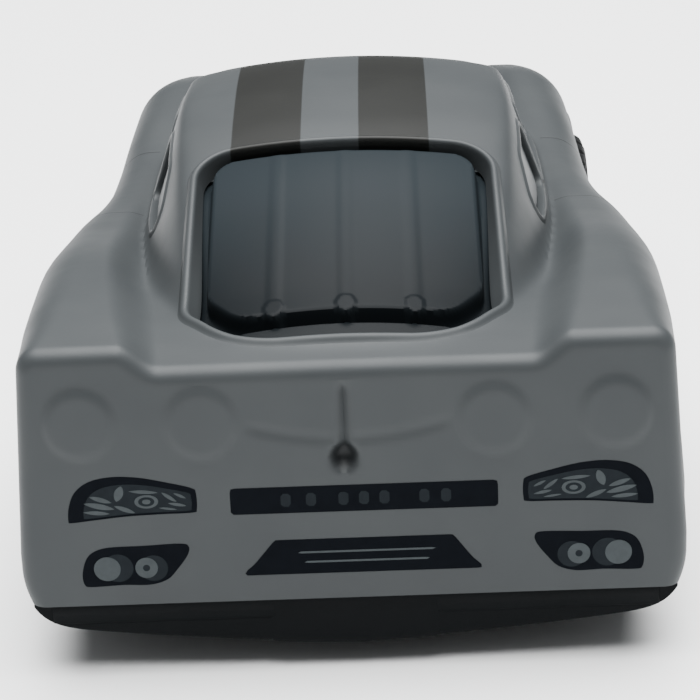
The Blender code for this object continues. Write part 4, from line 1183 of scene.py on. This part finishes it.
def make_rim(name, centre, half, side, body, stands_for):
    """A five-spoke face over a barrel that is open at the back, with the axle's boss in its middle."""
    face_r = np.concatenate((np.linspace(0, 5.35, 46), np.linspace(5.4, RIM_R - 0.02, 10)))[:, None]
    angle = np.linspace(0, 2 * math.pi, 240, endpoint=False)[None]
    turn = (angle * SPOKES / (2 * math.pi)) % 1 - 0.5
    off_spoke = np.abs(turn) * 2 * math.pi / SPOKES * face_r
    spoke = smooth_step((1.15 - 0.1 * face_r - off_spoke) / 0.25)
    dish = 1.75 - 0.1 * (face_r - 2.0)
    hub = 1.25 + 0.05 * face_r**2
    face = dish - 0.25 * spoke * np.cos(np.clip(off_spoke, 0, 1))
    pocket = smooth_step((face_r - 2.6) / 0.3) * smooth_step((5.05 - face_r) / 0.25) * (1 - spoke)
    depth = face + 1.35 * pocket
    depth = np.where(face_r < 2.35, hub + 0 * angle, depth)
    nut = smooth_step((0.28 - np.abs(face_r - 1.75)) / 0.12) * smooth_step((np.cos(angle * 5) - 0.55) / 0.2)
    depth = depth + 0.2 * nut
    lip = smooth_step((face_r - 5.15) / 0.3)
    depth = depth * (1 - lip) + (0.95 + 0.25 * smooth_step((face_r - 6.0) / 0.28)) * lip
    x = centre[0] + side * (half - depth)
    grid = np.stack((x, centre[1] + face_r * np.cos(angle), centre[2] + face_r * np.sin(angle)), -1)
    barrel = ((half - 1.2, RIM_R), (0, RIM_R - 0.02), (-half + 1.0, RIM_R), (-half + 0.8, RIM_R - 0.1),
              (-half + 0.8, RIM_R - 0.75), (half - 3.6, RIM_R - 0.9), (half - 3.8, 2.4),
              (-half + 1.5, 2.3), (-half + 1.5, 1.1))
    patches = [patch(grid, wrap_columns=True, flip=side < 0), turned(barrel, centre, 240, side)]
    return piece(name, patches, body, silvered, stands_for, smooth_angle=50)


for place, (centre, radius, half) in WHEELS.items():
    side = 1 if "right" in place else -1
    body = place.split("_")[0] + "_wheels"
    make_tyre("treaded_tyre_" + place, centre, radius, half, side, body, ["tyre_" + place])
    make_rim("spoked_rim_" + place, centre, half, side, body, ["wheel_rim_" + place])
for end in ("rear", "front"):
    low, high = node_box(end + "_axle")
    reach = (high[0] - low[0]) / 2
    shaft = (
        (reach, 0), (reach, 0.8), (reach - 0.2, 1.0), (0, 1.0), (0.2 - reach, 1.0), (-reach, 0.8), (-reach, 0)
    )
    pin = turned(shaft, (low + high) / 2, 48)
    piece(end + "_axle_pin", [pin], end + "_wheels", steel, [end + "_axle"])

# %% [markdown]
# ## The motor, the gears and the screws
#
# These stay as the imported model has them, because their teeth and sockets are exact there. Only their
# finishes are new.

# %% Finishes inside
# Natural nylon is milky. It is drawn opaque here, with a slight drift of tone.
case_finish, tree, shader = material("translucent_nylon_case_moulded", "#c9c6bb", 0.45, 0.0)
mottle(tree, shader, "#c2bfb3", "#d2cfc5", 4.0)
gear_finish, tree, shader = material("white_nylon_moulded", "#e4e2da", 0.4, 0.0)
mottle(tree, shader, "#dcdad1", "#ebe9e2", 2.0)
# Heat treatment leaves spring steel a dark blue grey.
spring_finish, tree, shader = material("blued_spring_steel", "#4a5058", 0.32, 1.0)
mottle(tree, shader, "#434953", "#565b60", 1.2)
INSIDE = {
    "motor_case": (case_finish, "case_plastic"), "motor_lid": (case_finish, "case_plastic"),
    "axle_gear": (gear_finish, "gear_nylon"), "clutch_gear": (gear_finish, "gear_nylon"),
    "transfer_gear": (gear_finish, "gear_nylon"), "spring_gear": (gear_finish, "gear_nylon"),
    "mainspring": (spring_finish, "spring_steel"), "transfer_pin": (steel, "axle_steel"),
    "chassis_screw_front": (steel, "screw_steel"), "chassis_screw_rear_left": (steel, "screw_steel"),
    "chassis_screw_rear_right": (steel, "screw_steel"),
}
for name, (finish, _) in INSIDE.items():
    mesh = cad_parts[name].data
    mesh.materials.clear()
    mesh.materials.append(finish)

# %% [markdown]
# ## The studio

# %% Studio
# Painted paper is pale and matt, so the shadows on it are soft.
floor_finish, tree, shader = material("painted_paper_backdrop", "#f4f5f5", 0.7)
floor_size = 1.6
floor_mesh = bpy.data.meshes.new("floor")
corners = [(floor_size * a, floor_size * b, 0) for a, b in ((-1, -1), (1, -1), (1, 1), (-1, 1))]
floor_mesh.from_pydata(corners, [], [(0, 1, 2, 3)])
floor_mesh.materials.append(floor_finish)
floor = bpy.data.objects.new("floor", floor_mesh)
bpy.context.scene.collection.objects.link(floor)
floor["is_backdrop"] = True

world = bpy.data.worlds.new("studio")
bpy.context.scene.world = world
world.use_nodes = True
world.node_tree.nodes["Background"].inputs["Color"].default_value = linear("#f2f4f6")
world.node_tree.nodes["Background"].inputs["Strength"].default_value = 0.27


def soft_light(name, place, aim, size, watts):
    """A square soft box of a size in metres that looks at a point."""
    light = bpy.data.lights.new(name, "AREA")
    light.shape, light.size, light.energy = "SQUARE", size, watts
    lamp = bpy.data.objects.new(name, light)
    lamp.location = place
    lamp.rotation_euler = (Vector(aim) - Vector(place)).to_track_quat("-Z", "Y").to_euler()
    bpy.context.scene.collection.objects.link(lamp)


soft_light("top_box", (0.02, 0.02, 0.62), (0, 0.0, 0.02), 0.7, 24.0)

# %% Sizes, and the end
low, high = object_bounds()
